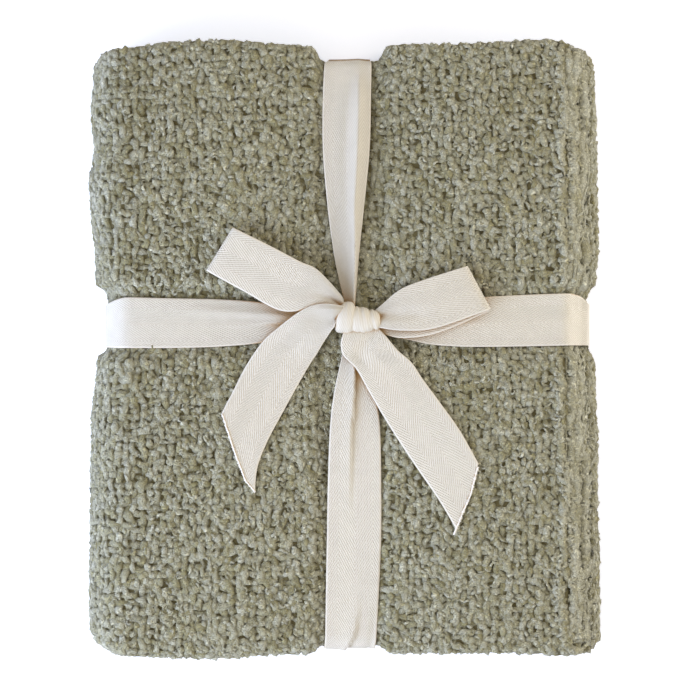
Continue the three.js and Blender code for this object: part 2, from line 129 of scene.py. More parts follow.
def under_tape(x, y, slope):
    """1 under a pass of the tape, falling to 0 over a slope on each side of it."""
    clear_x = smooth((np.abs(x - PASS_X) - PRESSED_HALF) / slope)
    clear_y = smooth((np.abs(y - PASS_Y) - PRESSED_HALF) / slope)
    return 1 - clear_x * clear_y


def height_share(x, y, groove=1):
    """Height left at a place, as a share of the full height."""
    rim = (x / HALF_WIDE) ** 4 + (y / HALF_LONG) ** 4
    pressed = PRESS_UNDER_TAPE * groove * under_tape(x, y, PRESSED_SLOPE)
    pressed = pressed + PRESS_NEAR_TAPE * under_tape(x, y, SOFT_SLOPE)
    return 1 - pressed - PRESS_AT_RIM * rim


def settle(x, y, z):
    """Moves points of the flat-sided stack to where they lie once it is tied and has settled."""
    def felt(distance):
        return np.clip(1 - distance / RIM_REACH, 0, 1) ** 2

    dx = eased(RIM["left"], y) * felt(x + HALF_WIDE) - eased(RIM["right"], y) * felt(HALF_WIDE - x)
    dy = eased(RIM["front"], x) * felt(y + HALF_LONG) - eased(RIM["back"], x) * felt(HALF_LONG - y)
    for (side_x, side_y), radius in CORNER_RADII.items():
        across = np.maximum(side_x * x - (HALF_WIDE - radius), 0)
        along = np.maximum(side_y * y - (HALF_LONG - radius), 0)
        dx = dx + side_x * across * (np.sqrt(np.maximum(0, 1 - (along / radius) ** 2 / 2)) - 1)
        dy = dy + side_y * along * (np.sqrt(np.maximum(0, 1 - (across / radius) ** 2 / 2)) - 1)
    level = np.clip(z / STACK_HIGH, 0, 1)
    lift = LIFT_UNDER_TAPE * under_tape(x, y, PRESSED_SLOPE) * (1 - z / STACK_HIGH)
    wave = np.sin(2 * math.pi * x / WAVE["x_length"] + WAVE["x_start"])
    wave = wave * np.cos(2 * math.pi * y / WAVE["y_length"] + WAVE["y_start"])
    wave = wave * WAVE["high"] * np.sin(math.pi * level)
    return np.stack([x + dx, y + dy, (z + lift + wave) * height_share(x, y)], -1)


def tucked_in(x, y, z):
    """How far a fold at the front or back is tucked into the stack."""
    felt = 1 - smooth((1 - np.abs(y) / HALF_LONG) / 0.15)
    turn = 2 * math.pi * (z / TUCK["high"] + x / TUCK["long"]) + np.where(y > 0, TUCK["back_start"], 0)
    in_stack = np.sin(math.pi * np.clip(z / STACK_HIGH, 0, 1))
    return -np.sign(y) * TUCK["deep"] * felt * in_stack * np.sin(turn) ** 2


def turns(start, end, steps):
    return np.radians(np.linspace(start, end, steps + 1))


def strip_course(xs, finer=1, short=0):
    """The strip's course through the stack, with stations at xs on its flats. It ends this much short of
    its cut edges. Each row gives x and z at the strip's outer face, and by how much each changes for
    every mm of depth in the strip."""

    def flat(places, z, change):
        return [(x, 0, z, change) for x in places]

    def fold(steps, x, side, z, radius, change, first):
        """Rows round a fold. first is 1 where it starts above the fold's middle, and -1 below it."""
        rows = []
        for turn in turns(0, 180, steps * finer):
            out = 1 - NOSE_SQUASH + NOSE_SQUASH * math.sin(turn)
            rise = first * math.cos(turn)
            rows.append((x + side * radius * out, side * change * out, z + radius * rise, change * rise))
        return rows

    rows = [(CUT_EDGES["top"] - short, CUT_EDGES["step"], STACK_HIGH, -1)]
    rows += flat(xs[::-1], STACK_HIGH, -1)
    rows += fold(8, FOLD_LEFT, -1, BIG_FOLD, BIG_FOLD, -1, 1)
    rows += flat(xs, 0, 1)
    rows += fold(4, FOLD_RIGHT, 1, SIDE_FOLD, SIDE_FOLD, -1, -1)
    rows += flat(xs[::-1], STRIP_PITCH + STRIP_THICK, -1)
    rows += fold(4, FOLD_LEFT, -1, BIG_FOLD, STRIP_GAP / 2, 1, -1)
    rows += flat(xs, 2 * STRIP_PITCH, 1)
    rows += [(CUT_EDGES["middle"] - short, 0, 2 * STRIP_PITCH, 1)]
    return np.array(rows)


def place_in_stack(row, y, depth):
    """Where a point of the strip lies in the tied stack, from its row of the course, y and depth."""
    x = row[..., 0] + row[..., 1] * depth
    z = row[..., 2] + row[..., 3] * depth
    return settle(x, y + tucked_in(x, y, z), z)


def strip_side(side, sunk, ys):
    """One side of the cloth folded across Y, as rows of y and the depth below the strip's outer face. side
    is 1 for the cloth's outer side, which is sunk this deep, and -1 for its inner one."""
    face = sunk if side > 0 else PLY_THICK

    def layer(index, edge=0):
        depth = index * PLY_PITCH + (face if index % 2 == 0 else PLY_THICK - face)
        return [(y, depth) for y in [FOLD_FRONT, *ys, FOLD_BACK + edge]]

    def bend(y, radius, depth, start, end, steps):
        inner_turns = turns(start, end, steps)[1:-1]
        return [(y + radius * math.cos(a), depth + radius * math.sin(a)) for a in inner_turns]

    tight = FRONT_FOLD - PLY_PITCH - PLY_THICK
    return np.array([
        *layer(2, CUT_EDGES["third"])[::-1],
        *bend(FOLD_FRONT, tight + face, FRONT_FOLD, 90, 270, 4),
        *layer(1),
        *bend(FOLD_BACK, BACK_FOLD - face, BACK_FOLD, 90, -90, 8),
        *layer(0)[::-1],
        *bend(FOLD_FRONT, FRONT_FOLD - face, FRONT_FOLD, 270, 90, 12),
        *layer(3, CUT_EDGES["fourth"]),
    ])


def make_piece(name, points, faces):
    """A mesh of points in millimetres. faces is an array with a row of corners for each, or a list of such
    arrays."""
    mesh = bpy.data.meshes.new(name)
    groups = faces if isinstance(faces, list) else [faces]
    corners = np.concatenate([group.ravel() for group in groups]).astype(np.int32)
    sizes = np.concatenate([np.full(len(group), group.shape[1]) for group in groups]).astype(np.int32)
    mesh.vertices.add(len(points))
    mesh.vertices.foreach_set("co", (np.asarray(points) * MM).astype(np.float32).ravel())
    mesh.loops.add(len(corners))
    mesh.loops.foreach_set("vertex_index", corners)
    mesh.polygons.add(len(sizes))
    mesh.polygons.foreach_set("loop_start", np.concatenate([[0], np.cumsum(sizes)[:-1]]).astype(np.int32))
    mesh.update(calc_edges=True)
    mesh.polygons.foreach_set("use_smooth", np.ones(len(sizes), bool))
    mesh.validate()
    piece = bpy.data.objects.new(name, mesh)
    bpy.context.collection.objects.link(piece)
    return piece


GROUND_SUNK = 2.2  # how deep the ground lies below the tops of the yarn
# Stations of the ground along X and Y, which are closer at the slopes beside the tape
GROUND_XS = np.array([-100, -77.5, -55, -36, -22.5, -14.5, 20.5, 28.5, 47, 67.5, 90, 112.5, 125])
GROUND_YS = np.array([-165, -143, -121, -99, -77, -55, -31, -8, 0, 35, 43, 66, 88, 110, 132, 154, 165])
GROUND_SHORT = 3.5  # how far in from the cut edges the ground ends, under their cords
course = strip_course(GROUND_XS, finer=2, short=GROUND_SHORT)
upper = strip_side(1, GROUND_SUNK, GROUND_YS)
lower = strip_side(-1, GROUND_SUNK, GROUND_YS)
grids = [place_in_stack(course[:, None, :], side[None, :, 0], side[None, :, 1]) for side in (upper, lower)]
columns, rows = grids[0].shape[:2]
index = np.arange(columns * rows).reshape(columns, rows)
under = index + columns * rows


def quads(grid, flip=False):
    corners = [grid[:-1, :-1], grid[1:, :-1], grid[1:, 1:], grid[:-1, 1:]]
    stacked = np.stack([c.ravel() for c in corners], -1)
    return stacked[:, ::-1] if flip else stacked


def rim_quads(top, bottom):
    """The thin wall round a closed sheet, between the rims of its two faces."""
    def loop(grid):
        return np.concatenate([grid[:-1, 0], grid[-1, :-1], grid[:0:-1, -1], grid[0, :0:-1]])
    a, b = loop(top), loop(bottom)
    return np.stack([np.roll(a, -1), a, b, np.roll(b, -1)], -1)


cloth = make_piece(
    "throw_cloth",
    np.concatenate([grids[0].reshape(-1, 3), grids[1].reshape(-1, 3)]),
    np.concatenate([quads(index), quads(under, True), rim_quads(index, under)]),
)


def linear(hex_colour):
    """An sRGB hex colour as linear red, green, blue and alpha."""
    parts = [int(hex_colour[i:i + 2], 16) / 255 for i in (1, 3, 5)]
    return [p / 12.92 if p <= 0.04045 else ((p + 0.055) / 1.055) ** 2.4 for p in parts] + [1]


def new_material(name):
    material = bpy.data.materials.new(name)
    material.use_nodes = True
    tree = material.node_tree
    return material, tree, tree.nodes["Principled BSDF"]


def set_inputs(tree, node, inputs):
    """Links or sets a node's inputs."""
    for name, value in inputs.items():
        if isinstance(value, bpy.types.NodeSocket):
            tree.links.new(value, node.inputs[name])
        else:
            node.inputs[name].default_value = value


def add_node(tree, kind, inputs=None, **settings):
    """Adds a node with its settings, and links or sets its inputs."""
    made = tree.nodes.new(kind)
    for name, value in settings.items():
        setattr(made, name, value)
    set_inputs(tree, made, inputs or {})
    return made


# The ground of the weave, which shows only deep in its gaps: the same dyed yarn, painted dark and dull as
# painted shade for its depth, and darker still between its lumps. Its lumps are the yarn's, 4.7 mm apart.
ground, tree, shader = new_material("boucle cloth ground")
coords = add_node(tree, "ShaderNodeTexCoord")
lumps = add_node(
    tree, "ShaderNodeTexVoronoi",
    {"Vector": coords.outputs["Object"], "Scale": 1 / 0.0047, "Randomness": 0.8},
    feature="SMOOTH_F1",
)
# Painted shade: the colour darkens away from each lump's middle, into the hollows between the lumps.
painted_shade_tones = add_node(tree, "ShaderNodeValToRGB", {"Fac": lumps.outputs["Distance"]})
painted_shade_tones.color_ramp.elements[0].color = linear("#767050")
painted_shade_tones.color_ramp.elements[1].color = linear("#544C30")
painted_shade_tones.color_ramp.elements[1].position = 0.8
lump_bump = add_node(
    tree, "ShaderNodeBump",
    {"Height": lumps.outputs["Distance"], "Strength": 0.8, "Distance": 0.002}, invert=True,
)
set_inputs(tree, shader, {
    "Base Color": painted_shade_tones.outputs["Color"], "Normal": lump_bump.outputs["Normal"], "Roughness": 0.95,
})
cloth.data.materials.append(ground)

# The throw's yarn
# Thick and thin slub yarn in plain weave, 4.6 mm from one yarn to the next. Weft runs along X and warp
# along Y, each over one and under the next, and the warp is a little thicker and prouder. It is laid on
# the cloth's outer side, over all that shows: the top and the folds on the left, right, in front and behind.

YARN_PITCH = 4.6
YARN_FAMILIES = {"weft": {"radius": 2.15, "proud": -0.05}, "warp": {"radius": 2.25, "proud": 0.2}}
YARN_WEAVE = 0.9  # how far a yarn rises and dips from the middle of the cloth's outer side
YARN_SUNK = 2.6  # how deep that middle lies
FLATTENED_ON_TABLE = 0.1  # the lowest that any yarn reaches
TUCKED_UNDER = 12  # how far the yarn goes on inside the small folds
# How uneven the yarn is: each change's size, and the number of stations from one change to the next.
# Shift, slip and rise are in millimetres, and lumps are shares of the yarn's radius.
UNEVEN = {
    "slow shift": (1.4, 5), "quick shift": (1.5, 1.4), "slip": (2.2, 1.6), "rise": (0.7, 1.8),
    "slow lumps": (0.14, 4), "quick lumps": (0.24, 1.2),
}
LUMP_AT_CROSSING = 0.2  # how much thicker a yarn is where it lies on top
# A slub comes every 24 crossings or so, reaches 1.1 crossings each way and is up to 0.45 thicker
SLUBS = {"spacing": 24, "reach": 1.1, "swell": 0.45}
rng = np.random.default_rng(11)


def lengths_along(points):
    steps = np.linalg.norm(np.diff(points, axis=0), axis=1)
    return np.concatenate([[0], np.cumsum(steps)])


def table_along(rows, lengths, at):
    """Rows of a table at lengths along it, from straight lines between them."""
    return np.stack([np.interp(at, lengths, column) for column in rows.T], -1)


fine_course = strip_course(np.arange(-100, 125.1, 5), finer=6)
outer_lengths = lengths_along(fine_course[:, [0, 2]])
MIDDLE_DEPTH = STRIP_THICK / 2
middle_lengths = lengths_along(fine_course[:, [0, 2]] + fine_course[:, [1, 3]] * MIDDLE_DEPTH)


def outer_side():
    """The cloth's outer side across Y, as rows of y, depth and the outward direction in both. It runs
    from inside the small fold at the back, over the top layer and round the nose in front."""
    def bend(y, radius, start, end, steps):
        facing = [(math.cos(a), math.sin(a)) for a in turns(start, end, steps)]
        return [(y + radius * out, radius * (1 + down), out, down) for out, down in facing]

    behind = np.linspace(FOLD_BACK - TUCKED_UNDER, FOLD_BACK, 5)[:-1]
    before = np.linspace(FOLD_FRONT, FOLD_FRONT + TUCKED_UNDER, 5)[1:]
    return np.array([
        *[(y, 2 * BACK_FOLD, 0, 1) for y in behind],
        *bend(FOLD_BACK, BACK_FOLD, 90, -90, 16),
        *[(y, 0, 0, -1) for y in np.linspace(FOLD_BACK, FOLD_FRONT, 60)[1:-1]],
        *bend(FOLD_FRONT, FRONT_FOLD, 270, 90, 24),
        *[(y, 2 * FRONT_FOLD, 0, 1) for y in before],
    ])


outer_rows = outer_side()
outer_across = lengths_along(outer_rows[:, :2])
ACROSS_END = outer_across[-1]
BACK_BEND_END = TUCKED_UNDER + math.pi * BACK_FOLD  # where the top layer starts, along the outer side
FRONT_BEND_START = BACK_BEND_END + FOLD_BACK - FOLD_FRONT


def on_cloth(along, across, height, lengths):
    """Points at a height over the cloth's outer side, from lengths along the strip and across it."""
    side = table_along(outer_rows, outer_across, across)
    row = table_along(fine_course, lengths, along)
    return place_in_stack(row, side[..., 0] + side[..., 2] * height, side[..., 1] + side[..., 3] * height)


def wander(count, stations, every):
    """Smooth random changes from -1 to 1 for each of count yarns."""
    knots = rng.uniform(-1, 1, (count, int(stations / every) + 3))
    at = np.arange(stations) / every + rng.uniform(0, 1)
    i = at.astype(int)
    share = smooth(at - i)
    return knots[:, i] * (1 - share) + knots[:, i + 1] * share


def uneven(change, count, stations):
    size, every = UNEVEN[change]
    return size * wander(count, stations, every)


def slubs(count, stations, spacing, reach):
    """Thick places in each yarn: 0 on plain yarn, and up to 1 in the middle of a slub."""
    swell = np.zeros((count, stations))
    at = np.arange(stations)
    for yarn in range(count):
        for middle in np.cumsum(rng.exponential(spacing, int(2 * stations / spacing) + 2)):
            swell[yarn] += rng.uniform(0.4, 1) * np.exp(-(((at - middle) / reach) ** 2))
    return np.clip(swell, 0, 1)


class Yarns:
    """Tubes that are gathered to make one mesh. Each point keeps how deep it lies, which the material turns
    into painted shade, and its tone, which differs at random and also carries painted light, and the UV map
    has the way round each yarn, and along it in units of 10 mm."""

    def __init__(self):
        self.points, self.faces, self.caps, self.depth, self.tone, self.uv = [], [], [], [], [], []
        self.count = 0

    def add(self, path, outward, radii, sides, height, rough=0.22, flat=0.9, paler=0.0):
        """path and outward are (yarns, stations, 3), radii and height are (yarns, stations). rough is how
        lumpy the tubes are, flat is how high they are for their width, and the last argument, painted light,
        is added to the tone, which paints the yarn paler."""
        yarns, stations = radii.shape
        ahead = np.gradient(path, axis=1)
        ahead /= np.linalg.norm(ahead, axis=-1, keepdims=True) + 1e-9
        side = np.cross(ahead, outward)
        side /= np.linalg.norm(side, axis=-1, keepdims=True) + 1e-9
        up = np.cross(side, ahead)
        angles = 2 * math.pi * (np.arange(sides) + 0.5) / sides
        lumpy = radii[..., None] * (1 + rough * rng.uniform(-1, 1, (yarns, stations, sides)))
        reach_side, reach_up = lumpy * np.cos(angles), lumpy * np.sin(angles) * flat
        ring = path[:, :, None] + reach_side[..., None] * side[:, :, None]
        ring = ring + reach_up[..., None] * up[:, :, None]
        ring[..., 2] = np.maximum(ring[..., 2], FLATTENED_ON_TABLE)
        grid = np.arange(yarns * stations * sides).reshape(yarns, stations, sides) + self.count
        turned = np.roll(grid, -1, axis=2)
        corners = [grid[:, :-1], turned[:, :-1], turned[:, 1:], grid[:, 1:]]
        self.faces.append(np.stack([c.ravel() for c in corners], -1))
        self.caps.append((sides, grid[:, 0, ::-1].reshape(-1, sides), grid[:, -1].reshape(-1, sides)))
        self.points.append(ring.reshape(-1, 3))
        self.depth.append((height[..., None] + reach_up).ravel())
        tone = wander(yarns, stations, 4) * 0.45 + 0.5 + rng.uniform(-0.15, 0.15, (yarns, 1))
        tone = np.broadcast_to(tone[..., None], grid.shape)
        # The painted light is added to the random tone, which paints these yarns paler.
        self.tone.append(np.clip(tone + paler + rng.uniform(-0.12, 0.12, grid.shape), 0, 1).ravel())
        steps = np.linalg.norm(np.diff(path, axis=1), axis=-1)
        length = np.concatenate([np.zeros((yarns, 1)), np.cumsum(steps, 1)], 1)
        length = (length + rng.uniform(0, 500, (yarns, 1))) / 10
        girth = np.arange(sides + 1) / sides
        u = [girth[:-1], girth[1:], girth[1:], girth[:-1]]
        v = [length[:, :-1], length[:, :-1], length[:, 1:], length[:, 1:]]
        shape = (yarns, stations - 1, sides)
        corner_uvs = [
            np.stack([np.broadcast_to(a, shape).ravel(), np.broadcast_to(b[..., None], shape).ravel()], -1)
            for a, b in zip(u, v)
        ]
        self.uv.append(np.stack(corner_uvs, 1).reshape(-1, 2))
        self.count += grid.size

    def piece(self, name, material, slot="boucle"):
        faces = [np.concatenate(self.faces)]
        cap_uv = 0
        for sides in sorted({cap[0] for cap in self.caps}):
            ends = np.concatenate([np.concatenate(cap[1:]) for cap in self.caps if cap[0] == sides])
            faces.append(ends)
            cap_uv += ends.size
        made = make_piece(name, np.concatenate(self.points), faces)
        for key, values in (("depth", self.depth), ("tone", self.tone)):
            attribute = made.data.attributes.new(key, "FLOAT", "POINT")
            attribute.data.foreach_set("value", np.concatenate(values).astype(np.float32))
        uv = np.concatenate([*self.uv, np.zeros((cap_uv, 2))]).astype(np.float32)
        layer = made.data.uv_layers.new(name="fibres")
        layer.data.foreach_set("uv", uv.ravel())
        made.data.materials.append(material)
        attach(made, "root")
        return made


# Boucle yarn: cotton and acrylic fibre, loosely spun, dyed sage and brushed. It is dull. Painted shade turns
# it olive deep in the weave, and leaves it pale where it stands proud. Its fibres lie in fine curled strands,
# paler than the rest.
yarn_material, tree, shader = new_material("boucle slub yarn")
tone = add_node(tree, "ShaderNodeAttribute", attribute_name="tone")
depth = add_node(tree, "ShaderNodeAttribute", attribute_name="depth")
coords = add_node(tree, "ShaderNodeTexCoord")
# The tone picks the dyed colour. It differs at random, and on curls and cords it is raised by painted light.
dye_and_painted_light = add_node(tree, "ShaderNodeValToRGB", {"Fac": tone.outputs["Fac"]})
dye_and_painted_light.color_ramp.elements[0].color = linear("#A49F79")
dye_and_painted_light.color_ramp.elements[0].position = 0.1
dye_and_painted_light.color_ramp.elements[1].color = linear("#C8C8B4")
dye_and_painted_light.color_ramp.elements[1].position = 0.95
# Painted shade: the deeper a point lies in the weave, the closer its colour goes to a dark olive.
sunk = add_node(
    tree, "ShaderNodeMapRange", {"Value": depth.outputs["Fac"], "From Min": -4.0, "From Max": 0.2},
)
shaded = add_node(
    tree, "ShaderNodeMix",
    {"Factor": sunk.outputs["Result"], "A": linear("#625B2C"), "B": dye_and_painted_light.outputs["Color"]},
    data_type="RGBA",
)
# A strand is about 0.5 mm wide, several times the real one, to show at this size. It winds along the
# middle value of a noise whose bumps are 2.3 mm apart.
winding = add_node(
    tree, "ShaderNodeTexNoise",
    {
        "Vector": coords.outputs["Object"], "Scale": 1 / 0.0023, "Detail": 1, "Roughness": 0.5,
        "Distortion": 0.8,
    },
)
from_middle = add_node(tree, "ShaderNodeMath", {0: winding.outputs["Fac"], 1: 0.5}, operation="SUBTRACT")
off_strand = add_node(tree, "ShaderNodeMath", {0: from_middle.outputs["Value"]}, operation="ABSOLUTE")
strands = add_node(
    tree, "ShaderNodeMapRange",
    {"Value": off_strand.outputs["Value"], "From Min": 0.01, "From Max": 0.09, "To Min": 1, "To Max": 0},
    interpolation_type="SMOOTHSTEP",
)
streaks = add_node(
    tree, "ShaderNodeMapRange", {"Value": strands.outputs["Result"], "To Min": 0.82, "To Max": 1.27},
)
streaked = add_node(
    tree, "ShaderNodeVectorMath",
    {0: shaded.outputs["Result"], 1: streaks.outputs["Result"]}, operation="MULTIPLY",
)
strand_bump = add_node(
    tree, "ShaderNodeBump", {"Height": strands.outputs["Result"], "Strength": 1.0, "Distance": 0.001},
)
set_inputs(tree, shader, {
    "Base Color": streaked.outputs["Vector"], "Normal": strand_bump.outputs["Normal"],
    "Roughness": 0.9, "Sheen Weight": 0.3, "Sheen Roughness": 0.5, "Specular IOR Level": 0.25,
})

# Where the tape presses the yarn flat: half the width of each pass, the slope beside it, and how far from
# the knot it starts and is full
FLAT_UNDER = {
    "lengthwise": {"half": 14, "slope": 3.5, "start": 55, "ease": 20},
    "crosswise": {"half": 14.5, "slope": 3, "start": 50, "ease": 20},
}


def flattened(along, across, lengths):
    """How flat the tape presses the yarn, from 0 to 1. Near the knot it is gathered and presses nothing."""
    flat = on_cloth(along, across, 0.0, lengths)
    from_x, from_y = np.abs(flat[..., 0] - PASS_X), np.abs(flat[..., 1] - PASS_Y)

    def under(tape, aside, from_knot):
        pressing = 1 - smooth((aside - tape["half"]) / tape["slope"])
        return pressing * smooth((from_knot - tape["start"]) / tape["ease"])

    lengthwise = under(FLAT_UNDER["lengthwise"], from_x, from_y)
    return np.maximum(lengthwise, under(FLAT_UNDER["crosswise"], from_y, from_x))


def weave(gathered, along, across, lengths, kind, sides, steps=2):
    """Lays one family of yarns over a patch of the cloth's outer side. along and across are its limits,
    and steps is the number of stations from one crossing to the next."""
    weft_at = np.arange(math.ceil(across[0] / YARN_PITCH), across[1] / YARN_PITCH)
    warp_at = np.arange(math.ceil(along[0] / YARN_PITCH), along[1] / YARN_PITCH)
    own, other = (weft_at, warp_at) if kind == "weft" else (warp_at, weft_at)
    stations = (len(other) - 1) * steps + 1
    crossing = other[0] + np.arange(stations) / steps
    count = len(own)
    shift = uneven("slow shift", count, stations) + uneven("quick shift", count, stations)
    slip = uneven("slip", count, stations)
    mine = own[:, None] + shift / YARN_PITCH
    theirs = crossing[None, :] + slip / YARN_PITCH
    swell = slubs(count, stations, SLUBS["spacing"] * steps, SLUBS["reach"] * steps)
    sign = 1 if kind == "weft" else -1
    over = sign * np.cos(math.pi * (crossing[None, :] + own[:, None]))
    lumps = uneven("slow lumps", count, stations) + uneven("quick lumps", count, stations)
    lumps = lumps + LUMP_AT_CROSSING * over
    family = YARN_FAMILIES[kind]
    thickness = rng.uniform(0.86, 1.1, (count, 1))
    radii = family["radius"] * (thickness - 0.04 + lumps + SLUBS["swell"] * swell)
    along_at, across_at = (theirs, mine) if kind == "weft" else (mine, theirs)
    along_at = np.clip(along_at * YARN_PITCH, 0.5, lengths[-1] - 0.5)
    across_at = np.clip(across_at * YARN_PITCH, 0.5, ACROSS_END - 0.5)
    pressed = flattened(along_at, across_at, lengths)
    rise = YARN_WEAVE * over * (1 - 0.4 * pressed) + uneven("rise", count, stations)
    height = -YARN_SUNK + rise + family["proud"] - 0.4 * (radii - family["radius"]) - 0.9 * pressed
    path = on_cloth(along_at, across_at, height, lengths)
    outward = on_cloth(along_at, across_at, height + 1, lengths) - path
    gathered.add(path, outward, radii * (1 - 0.12 * pressed), sides, height)


on_top = np.where(fine_course[:, 2] > STACK_HIGH - 1)[0]
from_fold = np.abs(fine_course[on_top, 0] - GROUND_XS[0])
TOP_END = outer_lengths[on_top[np.argmin(from_fold)]]  # where the top's flat ends, along the strip
LEFT_FOLD_END = TOP_END + 135
DRAWN_BACK = 4  # the weave of the top layer ends this far in from its cut edge
halfway = (BACK_BEND_END + FRONT_BEND_START) / 2

weft_back = Yarns()
weave(weft_back, (DRAWN_BACK, LEFT_FOLD_END), (0, halfway), outer_lengths, "weft", 4)
weft_front = Yarns()
weave(weft_front, (DRAWN_BACK, LEFT_FOLD_END), (halfway, ACROSS_END), outer_lengths, "weft", 4)
warp_top = Yarns()
weave(warp_top, (DRAWN_BACK, TOP_END), (0, ACROSS_END), outer_lengths, "warp", 5)
warp_fold = Yarns()
weave(warp_fold, (TOP_END, LEFT_FOLD_END), (0, ACROSS_END), outer_lengths, "warp", 4)
yarn_pieces = [
    weft_back.piece("weft_yarn_back", yarn_material),
    weft_front.piece("weft_yarn_front", yarn_material),
    warp_top.piece("warp_yarn_top", yarn_material),
    warp_fold.piece("warp_yarn_left_fold", yarn_material),
]

# The small folds in front and behind of the three lower strips, and the fold of the two lowest on the right
small_folds = Yarns()
course_end = middle_lengths[-1]
bottom_start = np.interp(LEFT_FOLD_END, outer_lengths, middle_lengths)
for kind in ("weft", "warp"):
    for across in ((FRONT_BEND_START + 1, ACROSS_END - 9), (9, BACK_BEND_END + 1)):
        weave(small_folds, (bottom_start, course_end), across, middle_lengths, kind, 4)
yarn_pieces.append(small_folds.piece("small_fold_yarn", yarn_material))

right_fold = Yarns()
fold_rows = np.where((fine_course[:, 0] > 126) & (fine_course[:, 2] < STRIP_PITCH * 2))[0]
right_range = (outer_lengths[fold_rows[0]] - 4, outer_lengths[fold_rows[-1]] + 4)
for kind in ("weft", "warp"):
    weave(right_fold, right_range, (8, ACROSS_END - 8), outer_lengths, kind, 4)
yarn_pieces.append(right_fold.piece("right_fold_yarn", yarn_material))

# The throw's finished edges
# At the cut ends the last yarns are packed into a cord, with weft yarns turned back round it. The four
# stepped ends of the top strip and the four level ones of a lower strip show on the right, and two cut
# ends of each strip at the back.

edges = Yarns()

# A weft yarn's turn round the cord, as steps out from the edge and down from the layer's outer face
TURN_OUT = np.array([-6.5, -3.4, -0.4, 0.6, -1.0, -4.2])
TURN_DOWN = np.array([1.7, -0.1, 0.1, 2.2, 4.0, 3.8])

# How uneven a cord is: where its core and its loose strands lie in it and round it, and their lumps
UNEVEN.update({
    "core middle": (1.1, 2.5), "core turn": (0.4, 2), "core lumps": (0.34, 1.4),
    "strand turn": (1.1, 5), "strand reach": (0.7, 2), "strand lumps": (0.6, 1.2),
    "nose lumps": (0.6, 1.5),
})
CORD_SLUBS = {"spacing": 14, "reach": 2.2, "swell": 0.25}  # in stations, and as a share of the radius


def round_cord(cord, share, turn, reach):
    """Points round a cord, and the way outwards there. turn is 0 above the cord and a quarter at its
    outer side. Under the tape the cord is pushed in and down."""
    y = cord["place"](share, 0 * share, 0 * share + cord["depth"])[..., 1]
    under = 1 - smooth((np.abs(y - PASS_Y) - 15) / 4)
    out = reach * np.sin(turn) - cord["radius"] * 0.75 - (2.8 + 0.35 * cord["raised"]) * under
    down = cord["depth"] + PLY_THICK / 2 - 0.2 - reach * np.cos(turn)
    down = down + (0.9 + 0.4 * cord["raised"]) * under
    path = cord["place"](share, out, down)
    return path, cord["place"](share, out + np.sin(turn), down - np.cos(turn)) - path, under


def edge_cord(gathered, cord, strands=0):
    """A cord along an edge, weft yarns turned back round it, and loose strands that run along it."""
    length, radius = cord["length"], cord["radius"]
    stations = int(length / YARN_PITCH * 2.5)
    at = np.linspace(0, 1, stations)[None, :]
    middle = uneven("core middle", 1, stations)
    path, above, under = round_cord(cord, at, uneven("core turn", 1, stations), middle)
    swell = CORD_SLUBS["swell"] * slubs(1, stations, CORD_SLUBS["spacing"], CORD_SLUBS["reach"])
    radii = radius * (0.94 + uneven("core lumps", 1, stations) + swell) * (1 - 0.2 * under)
    # Painted light: the cord, the weft yarns turned round it and its loose strands are painted paler, and are
    # given a shallow depth so the painted depth shade leaves them pale.
    gathered.add(path, above, radii, 6, np.full((1, stations), -0.8), paler=0.3)

    count = int(length / YARN_PITCH / 1.6)
    share = (np.arange(count)[:, None] + 0.5 + rng.uniform(-0.45, 0.45, (count, 1))) / count
    across = np.clip(share + rng.uniform(-1.8, 1.8, (count, len(TURN_OUT))) / length, 0, 1)
    under = round_cord(cord, share, 0 * share, 0 * share)[2]
    out = TURN_OUT + rng.uniform(-0.6, 0.5, (count, 1)) - (3 + 0.35 * cord["raised"]) * under
    down = cord["depth"] + TURN_DOWN + rng.uniform(-0.5, 0.6, (count, 1))
    down = down + (1.1 + 0.4 * cord["raised"]) * under
    path, above = cord["place"](across, out, down), cord["place"](across, out - 0.4, down - 1)
    radii = rng.uniform(0.9, 1.8, (count, 1)) * (1 + 0.25 * rng.uniform(-1, 1, (count, len(TURN_OUT))))
    gathered.add(path, above - path, radii * (1 - 0.3 * under), 4, np.full(radii.shape, -0.3), paler=0.35)

    if strands:
        stations = int(length / 5)
        at = np.linspace(0.3, 1, stations)[None, :]
        turn = np.linspace(-1, 1.3, strands)[:, None] + uneven("strand turn", strands, stations)
        reach = radius - 0.2 + uneven("strand reach", strands, stations)
        path, above, under = round_cord(cord, at, turn, reach)
        radii = (0.95 + uneven("strand lumps", strands, stations)) * (1 - 0.4 * under)
        gathered.add(path, above, radii, 4, np.full(radii.shape, -0.1), paler=0.35)


def right_edge(x, change, z, z_change, start, end, stray, phase):
    """Places along a cut edge on the right, from front to back. The edge strays in and out along it."""
    def place(share, out, depth):
        y = start + (end - start) * share
        strayed = stray * (np.sin(y / 19 + phase) + 0.7 * np.sin(y / 7.3 + 2 * phase))
        row = np.stack(np.broadcast_arrays(x + out + strayed, change, z, z_change + 0 * out), -1)
        return place_in_stack(row, y, depth)
    return place


def back_edge(reach):
    """Places along a cut edge at the back, along the strip's whole course."""
    def place(share, out, depth):
        row = table_along(fine_course, middle_lengths, share * course_end)
        return place_in_stack(row, reach + out, depth)
    return place


